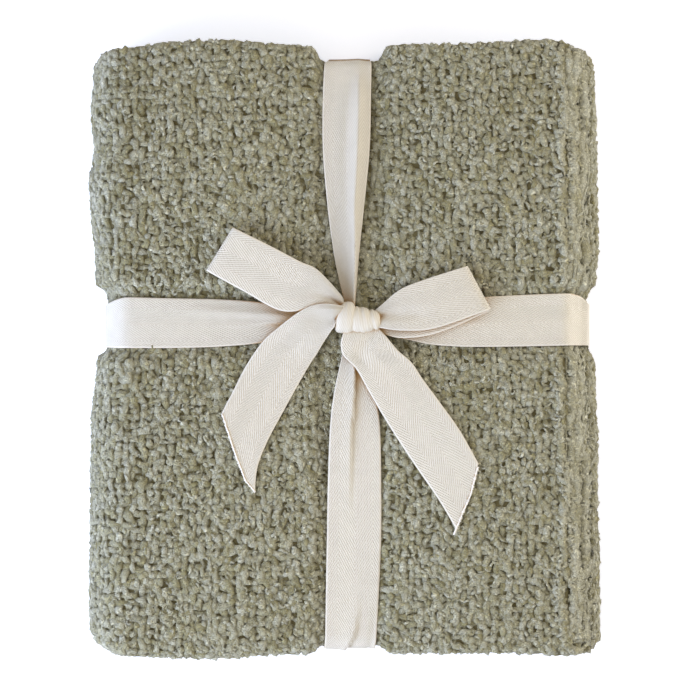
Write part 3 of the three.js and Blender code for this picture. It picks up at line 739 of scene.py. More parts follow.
# The cord of each layer on the right: how far it lies out from the layer's own edge, how far it is
# puffed up, its radius, how far it strays, and its loose strands and curls. The top layer's has drawn
# back, which leaves a furrow beside it. The ones under it are fuller, and the last one is in two parts.
RIGHT_CORDS = {
    "top": [
        {"ply": 0, "shift": -3.2, "raised": 0, "radius": 2.4, "stray": 1.3, "strands": 0, "curls": 150},
        {"ply": 1, "shift": 0.8, "raised": 2.2, "radius": 3, "stray": 1, "strands": 2, "curls": 200},
        {"ply": 2, "shift": 1.8, "raised": 5, "radius": 3.5, "stray": 1.2, "strands": 2, "curls": 190},
        {"ply": 3, "shift": 2.8, "raised": 6, "radius": 3.2, "stray": 1.5, "strands": 2, "curls": 190},
        {"ply": 3, "shift": -0.5, "raised": 1, "radius": 2.8, "stray": 0.8, "strands": 0, "curls": 40},
    ],
    "middle": [
        {"ply": 0, "shift": -1, "raised": 3.6, "radius": 3.7, "stray": 0.8, "strands": 0, "curls": 90},
        {"ply": 1, "shift": 1.5, "raised": 0, "radius": 2.6, "stray": 0.8, "strands": 0, "curls": 55},
        {"ply": 2, "shift": 2, "raised": 0, "radius": 2.6, "stray": 0.8, "strands": 0, "curls": 55},
        {"ply": 3, "shift": 2, "raised": 0, "radius": 2.6, "stray": 0.8, "strands": 0, "curls": 40},
    ],
}
STRIP_ENDS = (("top", CUT_EDGES["step"], STACK_HIGH, -1), ("middle", 0, 2 * STRIP_PITCH, 1))
right_cords = []
for strip, change, z, z_change in STRIP_ENDS:
    for row in RIGHT_CORDS[strip]:
        back_end = FOLD_BACK + {2: CUT_EDGES["third"], 3: CUT_EDGES["fourth"]}.get(row["ply"], 1) - 1
        x = CUT_EDGES[strip] + row["shift"]
        place = right_edge(x, change, z, z_change, FOLD_FRONT, back_end, row["stray"], 2.1 * row["ply"])
        depth = row["ply"] * PLY_PITCH - row["raised"]
        cord = {"place": place, "depth": depth, "length": back_end - FOLD_FRONT, **row}
        edge_cord(edges, cord, row["strands"])
        right_cords.append(cord)
# Each strip's edge goes on round the nose in front: one turn outside, and a tighter one inside it
for strip, change, z, z_change in STRIP_ENDS:
    for reach in (FRONT_FOLD - 3, FRONT_FOLD - 3 - PLY_PITCH):
        bend = turns(-20, 200, 14)
        row = np.array([[CUT_EDGES[strip] - 3, change, z, z_change]])
        y, depth = FOLD_FRONT - reach * np.sin(bend), FRONT_FOLD - reach * np.cos(bend)
        path = place_in_stack(row, y, depth)[None]
        radii = 2.4 + uneven("nose lumps", 1, len(bend))
        # Painted light: the nose's turns are painted a little paler, and kept shallow, out of the painted
        # depth shade.
        edges.add(path, np.broadcast_to([1.0, 0.01, 0.3], path.shape), radii, 6, 0 * radii - 1.2, paler=0.1)
for ply, reach in ((2, CUT_EDGES["third"]), (3, CUT_EDGES["fourth"])):
    cord = {"place": back_edge(FOLD_BACK + reach), "depth": ply * PLY_PITCH, "length": course_end}
    edge_cord(edges, {**cord, "raised": 0, "radius": 2.6})
yarn_pieces.append(edges.piece("cut_edge_yarn", yarn_material))

# Loops and curls of the boucle
# The yarn's fancy strand stands off its core in loops, curls, puffs and thick knops, caught down at both
# ends. They lie nearly every way, so close that they hide much of the weave.

CURL_STATIONS = 6
# Each kind's share of all, and from least to most the radius of its bend, its length and its own radius
CURLS = {
    "tight loop": {"share": 0.1, "bend": (1.0, 1.8), "length": (4, 7), "thick": (0.6, 0.9), "sides": 3},
    "open curl": {"share": 0.44, "bend": (1.8, 4.5), "length": (3.5, 7), "thick": (0.9, 1.4), "sides": 4},
    "puff": {"share": 0.38, "bend": (2.2, 6), "length": (3, 5.5), "thick": (1.3, 2.5), "sides": 5},
    "knop": {"share": 0.08, "bend": (3, 7), "length": (3.5, 6), "thick": (2.4, 3.3), "sides": 6},
}
KINDS_ON_CORDS = ("tight loop", "open curl", "puff")
LEAN = 1.25  # spread of the curls' ways about the strip's own, in radians


def curled(curl, count):
    """Ways along and across of a number of curls of one kind, from the middle of each."""
    at = np.linspace(0, 1, CURL_STATIONS)[None, :]
    bend = rng.uniform(*curl["bend"], (count, 1))
    sweep = rng.uniform(*curl["length"], (count, 1)) / bend * rng.choice([-1, 1], (count, 1))
    start = rng.normal(0, LEAN, (count, 1)) + rng.choice([0, math.pi], (count, 1))
    turn = start + sweep * (at - 0.5)
    spiral = bend * (1.1 - 0.3 * at)
    return spiral * np.cos(turn) - bend * np.cos(start), spiral * np.sin(turn) - bend * np.sin(start)


def curl_radii(curl, count):
    """The greatest radius of each curl, and its radius along it: thin at both ends, and lumpy."""
    at = np.linspace(0, 1, CURL_STATIONS)[None, :]
    thick = rng.uniform(*curl["thick"], (count, 1))
    lumps = rng.uniform(-0.12, 0.12, (count, CURL_STATIONS))
    return thick, thick * (0.55 + 0.45 * np.sin(math.pi * at) + lumps)


def caught_down(count, proud):
    """Height of the top of each curl, which falls at both of its ends."""
    at = np.linspace(0, 1, CURL_STATIONS)[None, :]
    return rng.uniform(*proud, (count, 1)) - 1.7 * np.abs(2 * at - 1) ** 3


def scatter_curls(gathered, total, along, across, lengths):
    """Lays curls of each kind over a patch of the cloth's outer side."""
    for curl in CURLS.values():
        count = int(total * curl["share"])
        way_along, way_across = curled(curl, count)
        along_at = np.clip(rng.uniform(*along, (count, 1)) + way_along, 0.5, lengths[-1] - 0.5)
        across_at = np.clip(rng.uniform(*across, (count, 1)) + way_across, 0.5, ACROSS_END - 0.5)
        pressed = flattened(along_at, across_at, lengths)
        thick, radii = curl_radii(curl, count)
        height = caught_down(count, (-0.1, 1.2)) - thick * (1 - 0.3 * pressed) - 1.9 * pressed
        path = on_cloth(along_at, across_at, height, lengths)
        outward = on_cloth(along_at, across_at, height + 1, lengths) - path
        radii = radii * (1 - 0.3 * pressed)
        # Painted highlight: the curls are painted paler than the yarn they lie on.
        gathered.add(path, outward, radii, curl["sides"], height, rough=0.14, flat=0.85, paler=0.15)


def curls_on_cord(gathered, cord):
    """Lays curls round the top and the outside of a cut edge's cord."""
    for curl in [CURLS[kind] for kind in KINDS_ON_CORDS]:
        count = int(cord["curls"] * curl["share"])
        way_round, way_along = curled(curl, count)
        thick, radii = curl_radii(curl, count)
        share = 2 + (cord["length"] - 6) * rng.uniform(0, 1, (count, 1)) ** 1.4 + way_along
        turn = rng.uniform(-1.2, 1.5, (count, 1)) + way_round / cord["radius"]
        reach = cord["radius"] - thick * 0.4 + 0.7 * caught_down(count, (0, 1))
        path, outward, under = round_cord(cord, np.clip(share / cord["length"], 0, 1), turn, reach)
        radii = 0.85 * radii * (1 - 0.4 * under)
        # Painted highlight: the curls on a cord are painted paler still, and kept out of the painted depth
        # shade.
        gathered.add(path, outward, radii, curl["sides"], 0 * turn - 0.1, rough=0.14, flat=0.85, paler=0.35)


CURLS_ON_HALF = 3390
top_range = (4, TOP_END + 20)
curls_behind = Yarns()
scatter_curls(curls_behind, CURLS_ON_HALF, top_range, (BACK_BEND_END - 8, halfway), outer_lengths)
curls_before = Yarns()
scatter_curls(curls_before, CURLS_ON_HALF, top_range, (halfway, FRONT_BEND_START + 12), outer_lengths)
curls_round = Yarns()
# Curls on the left fold, the fold on the right, the small folds in front and behind, and the top
# strip's nose beside its cut edge
for total, along, across, lengths in (
    (620, (TOP_END + 20, LEFT_FOLD_END - 25), (8, ACROSS_END - 8), outer_lengths),
    (200, (right_range[0] + 8, right_range[1] - 4), (8, ACROSS_END - 8), outer_lengths),
    (270, (bottom_start, course_end), (FRONT_BEND_START + 8, ACROSS_END - 16), middle_lengths),
    (180, (bottom_start, course_end), (15, BACK_BEND_END - 1), middle_lengths),
    (100, (0.5, 16), (FRONT_BEND_START - 2, ACROSS_END - 12), outer_lengths),
):
    scatter_curls(curls_round, total, along, across, lengths)
for cord in right_cords:
    curls_on_cord(curls_round, cord)
yarn_pieces += [
    curls_behind.piece("boucle_curls_behind", yarn_material),
    curls_before.piece("boucle_curls_before", yarn_material),
    curls_round.piece("boucle_curls_round", yarn_material),
]

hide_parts("throw")
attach(cloth, "root")

# The tape's two passes round the stack
# One length of cotton herringbone tape, 32 mm wide and 0.6 mm thick, with pale woven selvedges. It goes
# round the stack lengthwise and crosswise, and is gathered towards the knot on top.

TAPE_WIDE = 32
TAPE_THICK = 0.6
TAPE_COLUMNS = 24


def cloth_top(x, y):
    """Height of the cloth's top face where the tape bridges its own groove."""
    return STACK_HIGH * height_share(x, y, 0)


def through(rows, count):
    """Points on smooth lines through rows of numbers, spaced evenly along the first three."""
    rows = np.asarray(rows, float)
    padded = np.concatenate([2 * rows[:1] - rows[1:2], rows, 2 * rows[-1:] - rows[-2:-1]])
    fine = []
    for i in range(len(rows) - 1):
        p = padded[i:i + 4]
        t = np.linspace(0, 1, 12, endpoint=False)[:, None]
        fine.append(0.5 * (
            2 * p[1] + (p[2] - p[0]) * t + (2 * p[0] - 5 * p[1] + 4 * p[2] - p[3]) * t ** 2
            + (3 * p[1] - p[0] - 3 * p[2] + p[3]) * t ** 3
        ))
    fine = np.concatenate([*fine, rows[-1:]])
    lengths = lengths_along(fine[:, :3])
    return table_along(fine, lengths, np.linspace(0, lengths[-1], count)), lengths[-1]


def crease(across, along, line, kind="ridge", wide=0.15, other=0.0):
    """Height of a fold along a line on the tape. Each row of the line has the millimetres along the
    part, the share across it and the height there. A ridge is soft on both sides. A step has its height
    on the low-numbered side and other times that on the far side. A tent slopes down to both edges, and
    is steep on the far side."""
    places, shares, heights = np.array(line, float).T
    middle = np.interp(along, places, shares)
    high = np.interp(along, places, heights, left=0, right=0)
    off = across - middle
    if kind == "tent":
        near_side = np.clip(1 + off / middle, 0, 1) ** 2.6
        far_side = np.clip(1 - off / np.maximum(1 - middle, 0.02), 0, 1) ** 1.7
        return high * np.where(off < 0, near_side, far_side)
    if kind == "step":
        return high * np.where(off < 0, np.exp(off / wide), other * np.exp(-0.7 * off / wide))
    return high * np.exp(-((off / wide) ** 2))


def tape_part(name, left, right, length, creases=()):
    """A single-layer sheet between two edges, each an array of points. UVs are the way across and along
    the tape, in units of 10 mm."""
    across = np.linspace(0, 1, TAPE_COLUMNS + 1)[None, :]
    along = np.linspace(0, 1, len(left))[:, None]
    grid = left[:, None] * (1 - across[..., None]) + right[:, None] * across[..., None]
    rise = np.zeros(grid.shape[:2])
    for item in creases:
        rise = rise + crease(across, along * length, **item)
    ahead = np.gradient(grid, axis=0)
    aside = np.gradient(grid, axis=1)
    normal = np.cross(aside, ahead)
    normal /= np.linalg.norm(normal, axis=-1, keepdims=True) + 1e-9
    grid = grid + normal * rise[..., None]
    corners = np.arange(grid.shape[0] * grid.shape[1]).reshape(grid.shape[:2])
    made = make_piece(name, grid.reshape(-1, 3), quads(corners, True))
    layer = made.data.uv_layers.new(name="weave")
    u = np.broadcast_to(across * TAPE_WIDE / 10, grid.shape[:2]).ravel()
    v = np.broadcast_to(along * length / 10, grid.shape[:2]).ravel()
    loops = np.zeros(len(made.data.loops), np.int32)
    made.data.loops.foreach_get("vertex_index", loops)
    layer.data.foreach_set("uv", np.stack([u[loops], v[loops]], -1).astype(np.float32).ravel())
    return made


def wrapped(rows, along_y):
    """Two edges of a pass, from rows of place along the pass, level, and both edges' places across it."""
    fine, length = through([(place, level, 0, low, high) for place, level, low, high in rows], 190)
    place, level, low, high = fine[:, 0], fine[:, 1], fine[:, 3], fine[:, 4]
    if along_y:
        return settle(low, place, level), settle(high, place, level), length
    return settle(place, low, level), settle(place, high, level), length


def arc(place, level, reach, rise, start, end, steps):
    """Places and levels round a fold, and how far round to its outermost point each is, from 0 to 1."""
    return [
        (place + reach * math.cos(a), level + rise * math.sin(a), abs(math.cos(a)) ** 2)
        for a in turns(start, end, steps)
    ]


# Edges of the tape on top of the stack: the place along the pass, then low and high edge across it,
# and how far the tape is lifted off the cloth
ARMS = {
    "back": [
        {"at": 24, "low": 1, "high": 5.4, "lift": 4}, {"at": 38, "low": -2.8, "high": 6.6, "lift": 2.6},
        {"at": 57, "low": -6.8, "high": 8, "lift": 1.6}, {"at": 86, "low": -10.8, "high": 11.2, "lift": 0.8},
        {"at": 123, "low": -13.9, "high": 14.8, "lift": 0.4},
        {"at": 158, "low": -13.9, "high": 15.6, "lift": 0.2},
    ],
    "front": [
        {"at": 12, "low": 0, "high": 10, "lift": 5}, {"at": -5, "low": -2.4, "high": 11.5, "lift": 4.2},
        {"at": -17.6, "low": -5.2, "high": 15, "lift": 3.6}, {"at": -31, "low": -7.7, "high": 19, "lift": 3},
        {"at": -50, "low": -9.6, "high": 21.3, "lift": 2.2},
        {"at": -83, "low": -10.8, "high": 21.9, "lift": 1},
        {"at": -116, "low": -11.4, "high": 21.9, "lift": 0},
        {"at": -150, "low": -12, "high": 20.5, "lift": 0},
    ],
    "left": [
        {"at": -3, "low": 15, "high": 25, "lift": 5}, {"at": -25, "low": 8.2, "high": 24.5, "lift": 2.6},
        {"at": -52, "low": 4, "high": 29, "lift": 0.8}, {"at": -80, "low": 1.6, "high": 30.8, "lift": 0},
        {"at": -110, "low": 0.9, "high": 31.4, "lift": 0},
    ],
    "right": [
        {"at": 16, "low": 12, "high": 22, "lift": 5}, {"at": 27.5, "low": 8.1, "high": 25, "lift": 3},
        {"at": 40, "low": 5.6, "high": 28, "lift": 1.5}, {"at": 53, "low": 3, "high": 30, "lift": 0.6},
        {"at": 73, "low": 1.7, "high": 31.3, "lift": 0}, {"at": 95, "low": 1.7, "high": 32.8, "lift": 0},
        {"at": 125, "low": 2.2, "high": 34, "lift": 0},
    ],
}


def arm(name, clear):
    return [(row["at"], STACK_HIGH + clear + row["lift"], row["low"], row["high"]) for row in ARMS[name]]


def crossed(points, low, high, drawn_in=(0, 0)):
    """Rows of a pass. Round a fold its low and high edges are drawn in between the bulges of the cloth."""
    return [
        (place, level, low + drawn_in[0] * out, high - drawn_in[1] * out) for place, level, out in points
    ]


def level_run(level, places):
    return [(place, level, 0) for place in places]


# How far each pass lies off the cloth. The lengthwise one crosses over the other.
LENGTHWISE_CLEAR = 1.25
CROSSWISE_CLEAR = 0.55
back, front = BACK_FOLD + LENGTHWISE_CLEAR, FRONT_FOLD + LENGTHWISE_CLEAR
lengthwise_rows = [
    *arm("back", LENGTHWISE_CLEAR),
    *crossed(arc(FOLD_BACK, STACK_HIGH - BACK_FOLD, back, back, 90, 0, 4), -13, 16, (3, 1)),
    *crossed(arc(FOLD_BACK, BACK_FOLD, back, back, 0, -90, 4), -13.5, 17.5, (3, 1)),
    *crossed(level_run(-LENGTHWISE_CLEAR, (160, 80, 17.5, -60, -150)), -13, 19),
    *crossed(arc(FOLD_FRONT, FRONT_FOLD, front, front, 270, 180, 5), -12.6, 19, (-0.8, 1)),
    *crossed(arc(FOLD_FRONT, STACK_HIGH - FRONT_FOLD, front, front, 180, 90, 5), -12.4, 19, (-0.8, 1)),
    *arm("front", LENGTHWISE_CLEAR)[::-1],
]
side, big = SIDE_FOLD + CROSSWISE_CLEAR, BIG_FOLD + CROSSWISE_CLEAR
STEP_CLEAR = {"out": 2.4, "up": 1.1}
# Down the stepped cut edges of the top strip: the depth, and how much the tape is drawn in there
stepped = []
for depth, share in ((0, 0), (4.5, 0.03), (9, 0.16), (13.5, 0.45), (STRIP_THICK, 0.95)):
    out = CUT_EDGES["top"] + CUT_EDGES["step"] * depth + STEP_CLEAR["out"]
    stepped.append((out, STACK_HIGH - depth + STEP_CLEAR["up"], share))
flat_share = 1 - NOSE_SQUASH
round_right = arc(FOLD_RIGHT + flat_share * side, SIDE_FOLD, NOSE_SQUASH * side, side, 0, -90, 4)
round_left = arc(FOLD_LEFT - flat_share * big, BIG_FOLD, NOSE_SQUASH * big, big, 270, 90, 10)
crosswise_rows = [
    *arm("right", CROSSWISE_CLEAR),
    *crossed(stepped, 2.5, 34.3, (0, 6)),
    *crossed(round_right, 2.5, 34, (0, 5.7)),
    *crossed(level_run(-CROSSWISE_CLEAR, (125, 60, 3, -50, -100)), 1.5, 33.5),
    *crossed(round_left, 0.9, 32, (0.5, 5)),
    *arm("left", CROSSWISE_CLEAR)[::-1],
]

left, right, length = wrapped(lengthwise_rows, True)
lengthwise = tape_part(
    "tape_lengthwise", left, right, length,
    creases=[
        {"kind": "tent", "line": [
            (0, 0.9, 2), (14, 0.89, 4), (33, 0.87, 5.2), (62, 0.745, 6), (99, 0.75, 6), (134, 0.77, 5),
            (150, 0.75, 2), (172, 0.72, 0.6), (200, 0.7, 0),
        ]},
        {"kind": "ridge", "wide": 0.05, "line": [
            (20, 0.86, 0), (40, 0.82, 0.7), (62, 0.72, 0.9), (99, 0.725, 0.9), (134, 0.745, 0.9),
            (155, 0.72, 0),
        ]},
        {"kind": "ridge", "wide": 0.12, "line": [
            (50, 0.55, 0), (75, 0.5, -1), (110, 0.5, -1.1), (145, 0.55, -0.8), (158, 0.58, 0),
        ]},
        {"kind": "step", "wide": 0.16, "other": -0.75, "line": [
            (length - 115, 0.42, 0), (length - 80, 0.43, 1.1), (length - 56, 0.45, 2),
            (length - 36, 0.53, 2.6), (length - 16, 0.62, 2.6), (length, 0.7, 1.5),
        ]},
        {"kind": "step", "wide": 0.12, "other": -0.6, "line": [
            (length - 224, 0.38, 0), (length - 214, 0.42, 1.4), (length - 206, 0.46, 1.8),
            (length - 192, 0.6, 1.5), (length - 168, 0.68, 0),
        ]},
        {"kind": "ridge", "wide": 0.06, "line": [
            (length - 226, 0.82, 0), (length - 212, 0.88, -0.8), (length - 190, 0.93, -0.8),
            (length - 165, 0.97, 0),
        ]},
    ],
)
right, left, length = wrapped(crosswise_rows, False)
crosswise = tape_part(
    "tape_crosswise", left, right, length,
    creases=[
        {"kind": "step", "wide": 0.2, "other": -0.3, "line": [
            (length - 80, 0.62, 0), (length - 58, 0.6, 0.6), (length - 40, 0.52, 1.6), (length, 0.45, 2.2),
        ]},
        {"kind": "ridge", "wide": 0.1, "line": [
            (length - 110, 0.2, 0), (length - 80, 0.25, 1.1), (length - 40, 0.3, 1.2), (length, 0.3, 0),
        ]},
        {"kind": "ridge", "wide": 0.16, "line": [(0, 0.5, 1.2), (40, 0.5, 1.2), (90, 0.5, 0)]},
    ],
)

# The bow's loops and cut ends
# The same tape, folded into two loops and caught in the knot, with both ends hanging free, cut on
# the slant. Each row gives the two edges, x, y and the height above the cloth.

BOW = {
    "left_loop": [
        {"a": (-1, 22, 5), "b": (-1, 28, 6)},
        {"a": (-6.5, 25, 8), "b": (-3, 33.5, 8)},
        {"a": (-18, 25.5, 8.6), "b": (-17, 48.6, 9.5)},
        {"a": (-38.8, 23.5, 7.4), "b": (-27.5, 53.6, 9.6)},
        {"a": (-62, 35.5, 7.6), "b": (-46.6, 63.6, 9)},
        {"a": (-81.5, 46.2, 7.6), "b": (-65.6, 72.9, 8.2)},
        {"a": (-84.8, 48.2, 6), "b": (-68.7, 74.4, 6)},
        {"a": (-81.5, 46.4, 3), "b": (-65.3, 72.5, 3)},
        {"a": (-60, 36, 2.4), "b": (-46, 62.5, 2.4)},
        {"a": (-36, 25, 2.4), "b": (-25, 50, 2.6)},
        {"a": (-12, 22, 3), "b": (-8, 37, 3)},
        {"a": (0, 18, 3), "b": (1, 26, 3)},
    ],
    "right_loop": [
        {"a": (16, 22, 5), "b": (16, 15, 5)},
        {"a": (23, 28, 7.5), "b": (22, 13.2, 7)},
        {"a": (33.9, 36.9, 9.5), "b": (35, 11.6, 8)},
        {"a": (50, 43.2, 10), "b": (54, 12.8, 8.6)},
        {"a": (71, 49.9, 8.8), "b": (82, 22.2, 8)},
        {"a": (74.4, 50.9, 6), "b": (88.6, 24.6, 6)},
        {"a": (71, 49.5, 3.2), "b": (83, 21.2, 3.6)},
        {"a": (52, 42, 2.6), "b": (56, 10, 4)},
        {"a": (34, 33, 2.6), "b": (36, 7, 4.4)},
        {"a": (22, 24, 3), "b": (24, 9.2, 4.4)},
        {"a": (14, 20, 3), "b": (14, 13, 3.4)},
    ],
    "left_end": [
        {"a": (1, 26, 8), "b": (0, 18, 8)},
        {"a": (-5.5, 27.3, 12.2), "b": (-6, 15.5, 11.2)},
        {"a": (-13, 28, 11.8), "b": (-8, 12.5, 9.6)},
        {"a": (-21.3, 26.6, 10), "b": (-10.5, 8.6, 6.8)},
        {"a": (-30.5, 21.5, 8.5), "b": (-13.9, 3.4, 5)},
        {"a": (-40.4, 13.9, 5.5), "b": (-17.6, -2.8, 3.2)},
        {"a": (-50.5, 5.0, 3.2), "b": (-22.4, -10.2, 2)},
        {"a": (-60.9, -10.1, 1.8), "b": (-31.2, -25.6, 1.8)},
        {"a": (-68.8, -25.6, 1.6), "b": (-39.8, -41.3, 1.6)},
        {"a": (-76, -39.9, 1.6), "b": (-47.5, -55.8, 1.6)},
        {"a": (-83, -60.2, 1.6), "b": (-53.7, -71.9, 1.6)},
        {"a": (-85.5, -79.3, 1.6), "b": (-55.5, -89, 1.6)},
    ],
    "right_end": [
        {"a": (0, 16, 4), "b": (18, 17, 4)},
        {"a": (-1.5, 9.5, 6.5), "b": (21.5, 12, 5.5)},
        {"a": (-2.8, 4.2, 6.5), "b": (26, 6.7, 6)},
        {"a": (-1.5, -3.4, 5.5), "b": (32.4, -0.9, 5)},
        {"a": (6.5, -11.8, 4.2), "b": (40.2, -7.7, 4)},
        {"a": (15.7, -28.1, 3), "b": (47.5, -18.4, 3)},
        {"a": (27.5, -47.8, 2), "b": (55.4, -29.1, 2.2)},
        {"a": (42.9, -71.3, 1.6), "b": (69.5, -48.8, 1.6)},
        {"a": (56.5, -91, 1.6), "b": (81, -69, 1.6)},
        {"a": (65.7, -106.4, 1.6), "b": (90.4, -84.8, 1.6)},
        {"a": (71.9, -117.5, 1.6), "b": (96.6, -95.9, 1.6)},
    ],
}


def draped(name, count, **how):
    rows = [(*row["a"], *row["b"]) for row in BOW[name]]
    fine, length = through(rows, count)
    left, right = fine[:, :3].copy(), fine[:, 3:].copy()
    for edge in (left, right):
        edge[:, 2] += cloth_top(edge[:, 0], edge[:, 1])
    return tape_part("tape_" + name, left, right, length, **how)


def cut_end(piece, line):
    """Cuts a tape end along a line of points seen from above. What lies to the left of it stays."""
    for from_point, to_point in zip(line[:-1], line[1:]):
        start, end = Vector((*from_point, 0)) * MM, Vector((*to_point, 0)) * MM
        shape = bmesh.new()
        shape.from_mesh(piece.data)
        bmesh.ops.bisect_plane(
            shape, geom=[*shape.verts, *shape.edges, *shape.faces], plane_co=start,
            plane_no=(end - start).cross(Vector((0, 0, 1))).normalized(), clear_outer=True,
        )
        shape.to_mesh(piece.data)
        shape.free()


left_loop = draped("left_loop", 90, creases=[
    {"wide": 0.12, "line": [(0, 0.4, -1), (14, 0.38, -1), (34, 0.3, 0)]},
    {"wide": 0.16, "line": [(0, 0.8, 0.5), (16, 0.8, 0.5), (36, 0.75, 0)]},
])
right_loop = draped("right_loop", 90, creases=[
    {"wide": 0.13, "line": [
        (0, 0.45, -1.5), (7, 0.5, -2.2), (20, 0.6, -2.2), (30, 0.64, -1.6), (42, 0.68, 0),
    ]},
    {"wide": 0.3, "line": [(0, 0.85, 0), (12, 0.85, 1), (26, 0.9, 1), (40, 0.9, 0)]},
])
left_end = draped("left_end", 64, creases=[
    {"wide": 0.24, "line": [(0, 0.8, 2), (5, 0.8, 3), (12, 0.78, 2.8), (22, 0.6, 1.2), (40, 0.4, 0)]},
    {"wide": 0.1, "line": [(2, 0.28, 0), (8, 0.26, -1.1), (20, 0.16, -1.1), (34, 0.05, 0)]},
])
right_end = draped("right_end", 64, creases=[
    {"wide": 0.13, "line": [
        (3, 0.9, 0), (7, 0.8, 1.2), (13, 0.56, 1.6), (20, 0.32, 1.4), (28, 0.18, 0.8), (36, 0.05, 0),
    ]},
])
# Where the ends are cut, as points seen from above
LEFT_CUT = [(-75.4, -39.3), (-66.5, -66), (-61, -80), (-55.2, -87)]
RIGHT_CUT = [(66, -113.5), (76.6, -88), (80.9, -71.5)]
cut_end(left_end, LEFT_CUT)
cut_end(right_end, RIGHT_CUT)

# The knot
# The tape is wound round the crossing in three gathered turns that lean over one another, pulled tight
# with shallow uneven pleats along each turn.

# Each turn's middle and width, its reach and height from there, how it leans, how it widens towards the
# front, and the height of its pleats
KNOT_TURNS = [
    {"x": 0.4, "wide": 11.2, "y": 19.6, "reach": 9.4, "high": 7.5, "lean": 0.12, "flare": 0.2, "pleat": 0.09},
    {"x": 8.7, "wide": 15, "y": 18.2, "reach": 7.6, "high": 6.7, "lean": -0.1, "flare": 0.12, "pleat": 0.2},
    {"x": 14.8, "wide": 12.8, "y": 17.9, "reach": 6, "high": 5.9, "lean": -0.08, "flare": 0, "pleat": 0.24},
]
KNOT_LIFT = 4.6  # height of the turns' middle above the cloth
ROUNDED = 3.6  # how square the turns are across: 2 is a half circle


def knot_turn(index, turn):
    rows, columns = 48, 24
    angle = np.linspace(0, 2 * math.pi, rows)[:, None]
    across = np.linspace(-1, 1, columns + 1)[None, :]
    rounded = np.clip(1 - np.abs(across) ** ROUNDED, 0, 1) ** 0.5 * 0.6 + 0.4
    folds = np.sin(across * 6 + 2 * index + 1.6 * np.sin(angle + index))
    folds = folds + 0.8 * np.sin(across * 13 + index + 2.2 * np.cos(angle))
    folds = folds + 0.25 * np.sin(across * 24 - 3 * np.sin(angle + 0.5))
    pleats = turn["pleat"] * folds * (1 - across ** 2) * (1 + 0.5 * np.sin(2 * angle + index))
    y_share = rounded * np.cos(angle)
    y_reach = turn["reach"] * y_share + pleats * np.cos(angle)
    x = turn["x"] + turn["wide"] / 2 * across * (1 - turn["flare"] * y_share) + turn["lean"] * y_reach
    y = turn["y"] + y_reach
    z = cloth_top(x, y) + KNOT_LIFT + (turn["high"] * rounded + pleats) * np.sin(angle)
    grid = np.stack([x, y, z], -1)
    corners = np.arange((rows - 1) * (columns + 1)).reshape(rows - 1, columns + 1)
    corners = np.concatenate([corners, corners[:1]])
    made = make_piece("tape_turn_%d" % index, grid[:-1].reshape(-1, 3), quads(corners))
    layer = made.data.uv_layers.new(name="weave")
    shares = quads(np.arange(rows * (columns + 1)).reshape(rows, columns + 1)).ravel()
    # Only one stripe of the gathered tape shows, drawn askew, so its twill lines run nearly along the turn
    u = 1.22 + ((shares % (columns + 1)) / columns - 0.5) * 0.98
    v = (shares // (columns + 1)) / rows * 2.7 + (u - 1.22) * (0.28 * turn["wide"] - 1.86)
    layer.data.foreach_set("uv", np.stack([u, v], -1).astype(np.float32).ravel())
    return made


knot = [knot_turn(i, turn) for i, turn in enumerate(KNOT_TURNS)]

# Cotton herringbone twill tape: undyed cotton, closely woven, softly pressed. The twill lines slant one
# way and then the other in stripes 10 mm wide, between two plain selvedges. The real lines are 0.9 mm
# apart, and are drawn 1.3 mm apart to show at this size, so 2.7 mm apart along the tape.
# All in units of 10 mm, as the UVs are, apart from the slant, which is along for across.
TWILL = {"stripe": 1, "start": 0.72, "slant": 1.9, "line": 0.27, "thread": 0.09}
HALF_TAPE = TAPE_WIDE / 20
twill, tree, shader = new_material("cotton herringbone twill")
weave_map = add_node(tree, "ShaderNodeUVMap", uv_map="weave")
parts = add_node(tree, "ShaderNodeSeparateXYZ", {"Vector": weave_map.outputs["UV"]})
# Each wave is made by steps of sums on the way across the tape: the slanted lines, the fine threads that
# run along it, and how far a point is from its middle
STEPS = {
    "lines": [
        ("SUBTRACT", TWILL["start"]), ("PINGPONG", TWILL["stripe"]), ("MULTIPLY", TWILL["slant"]),
        ("ADD", parts.outputs["Y"]), ("MULTIPLY", 2 * math.pi / TWILL["line"]), ("SINE", 0),
    ],
    "threads": [("MULTIPLY", 2 * math.pi / TWILL["thread"]), ("SINE", 0)],
    "off_middle": [("SUBTRACT", HALF_TAPE), ("ABSOLUTE", 0)],
}
worked = {}
for name, steps in STEPS.items():
    value = parts.outputs["X"]
    for operation, amount in steps:
        step = add_node(tree, "ShaderNodeMath", {0: value, 1: amount}, operation=operation)
        value = step.outputs["Value"]
    worked[name] = value
both = add_node(
    tree, "ShaderNodeMath", {0: worked["threads"], 1: 0.35, 2: worked["lines"]}, operation="MULTIPLY_ADD",
)
selvedge = add_node(
    tree, "ShaderNodeMapRange",
    {"Value": worked["off_middle"], "From Min": 1.48, "From Max": 1.55, "To Min": 1, "To Max": 0},
)
relief = add_node(
    tree, "ShaderNodeMath", {0: both.outputs["Value"], 1: selvedge.outputs["Result"]}, operation="MULTIPLY",
)
clouds = add_node(
    tree, "ShaderNodeTexNoise",
    {"Vector": weave_map.outputs["UV"], "Scale": 1.3, "Detail": 4, "Roughness": 0.6},
)
lit = add_node(
    tree, "ShaderNodeMapRange", {"Value": relief.outputs["Value"], "From Min": -1.35, "From Max": 1.35},
)
woven = add_node(
    tree, "ShaderNodeMix",
    {"Factor": lit.outputs["Result"], "A": linear("#D5CFC2"), "B": linear("#E9E6DC")}, data_type="RGBA",
)
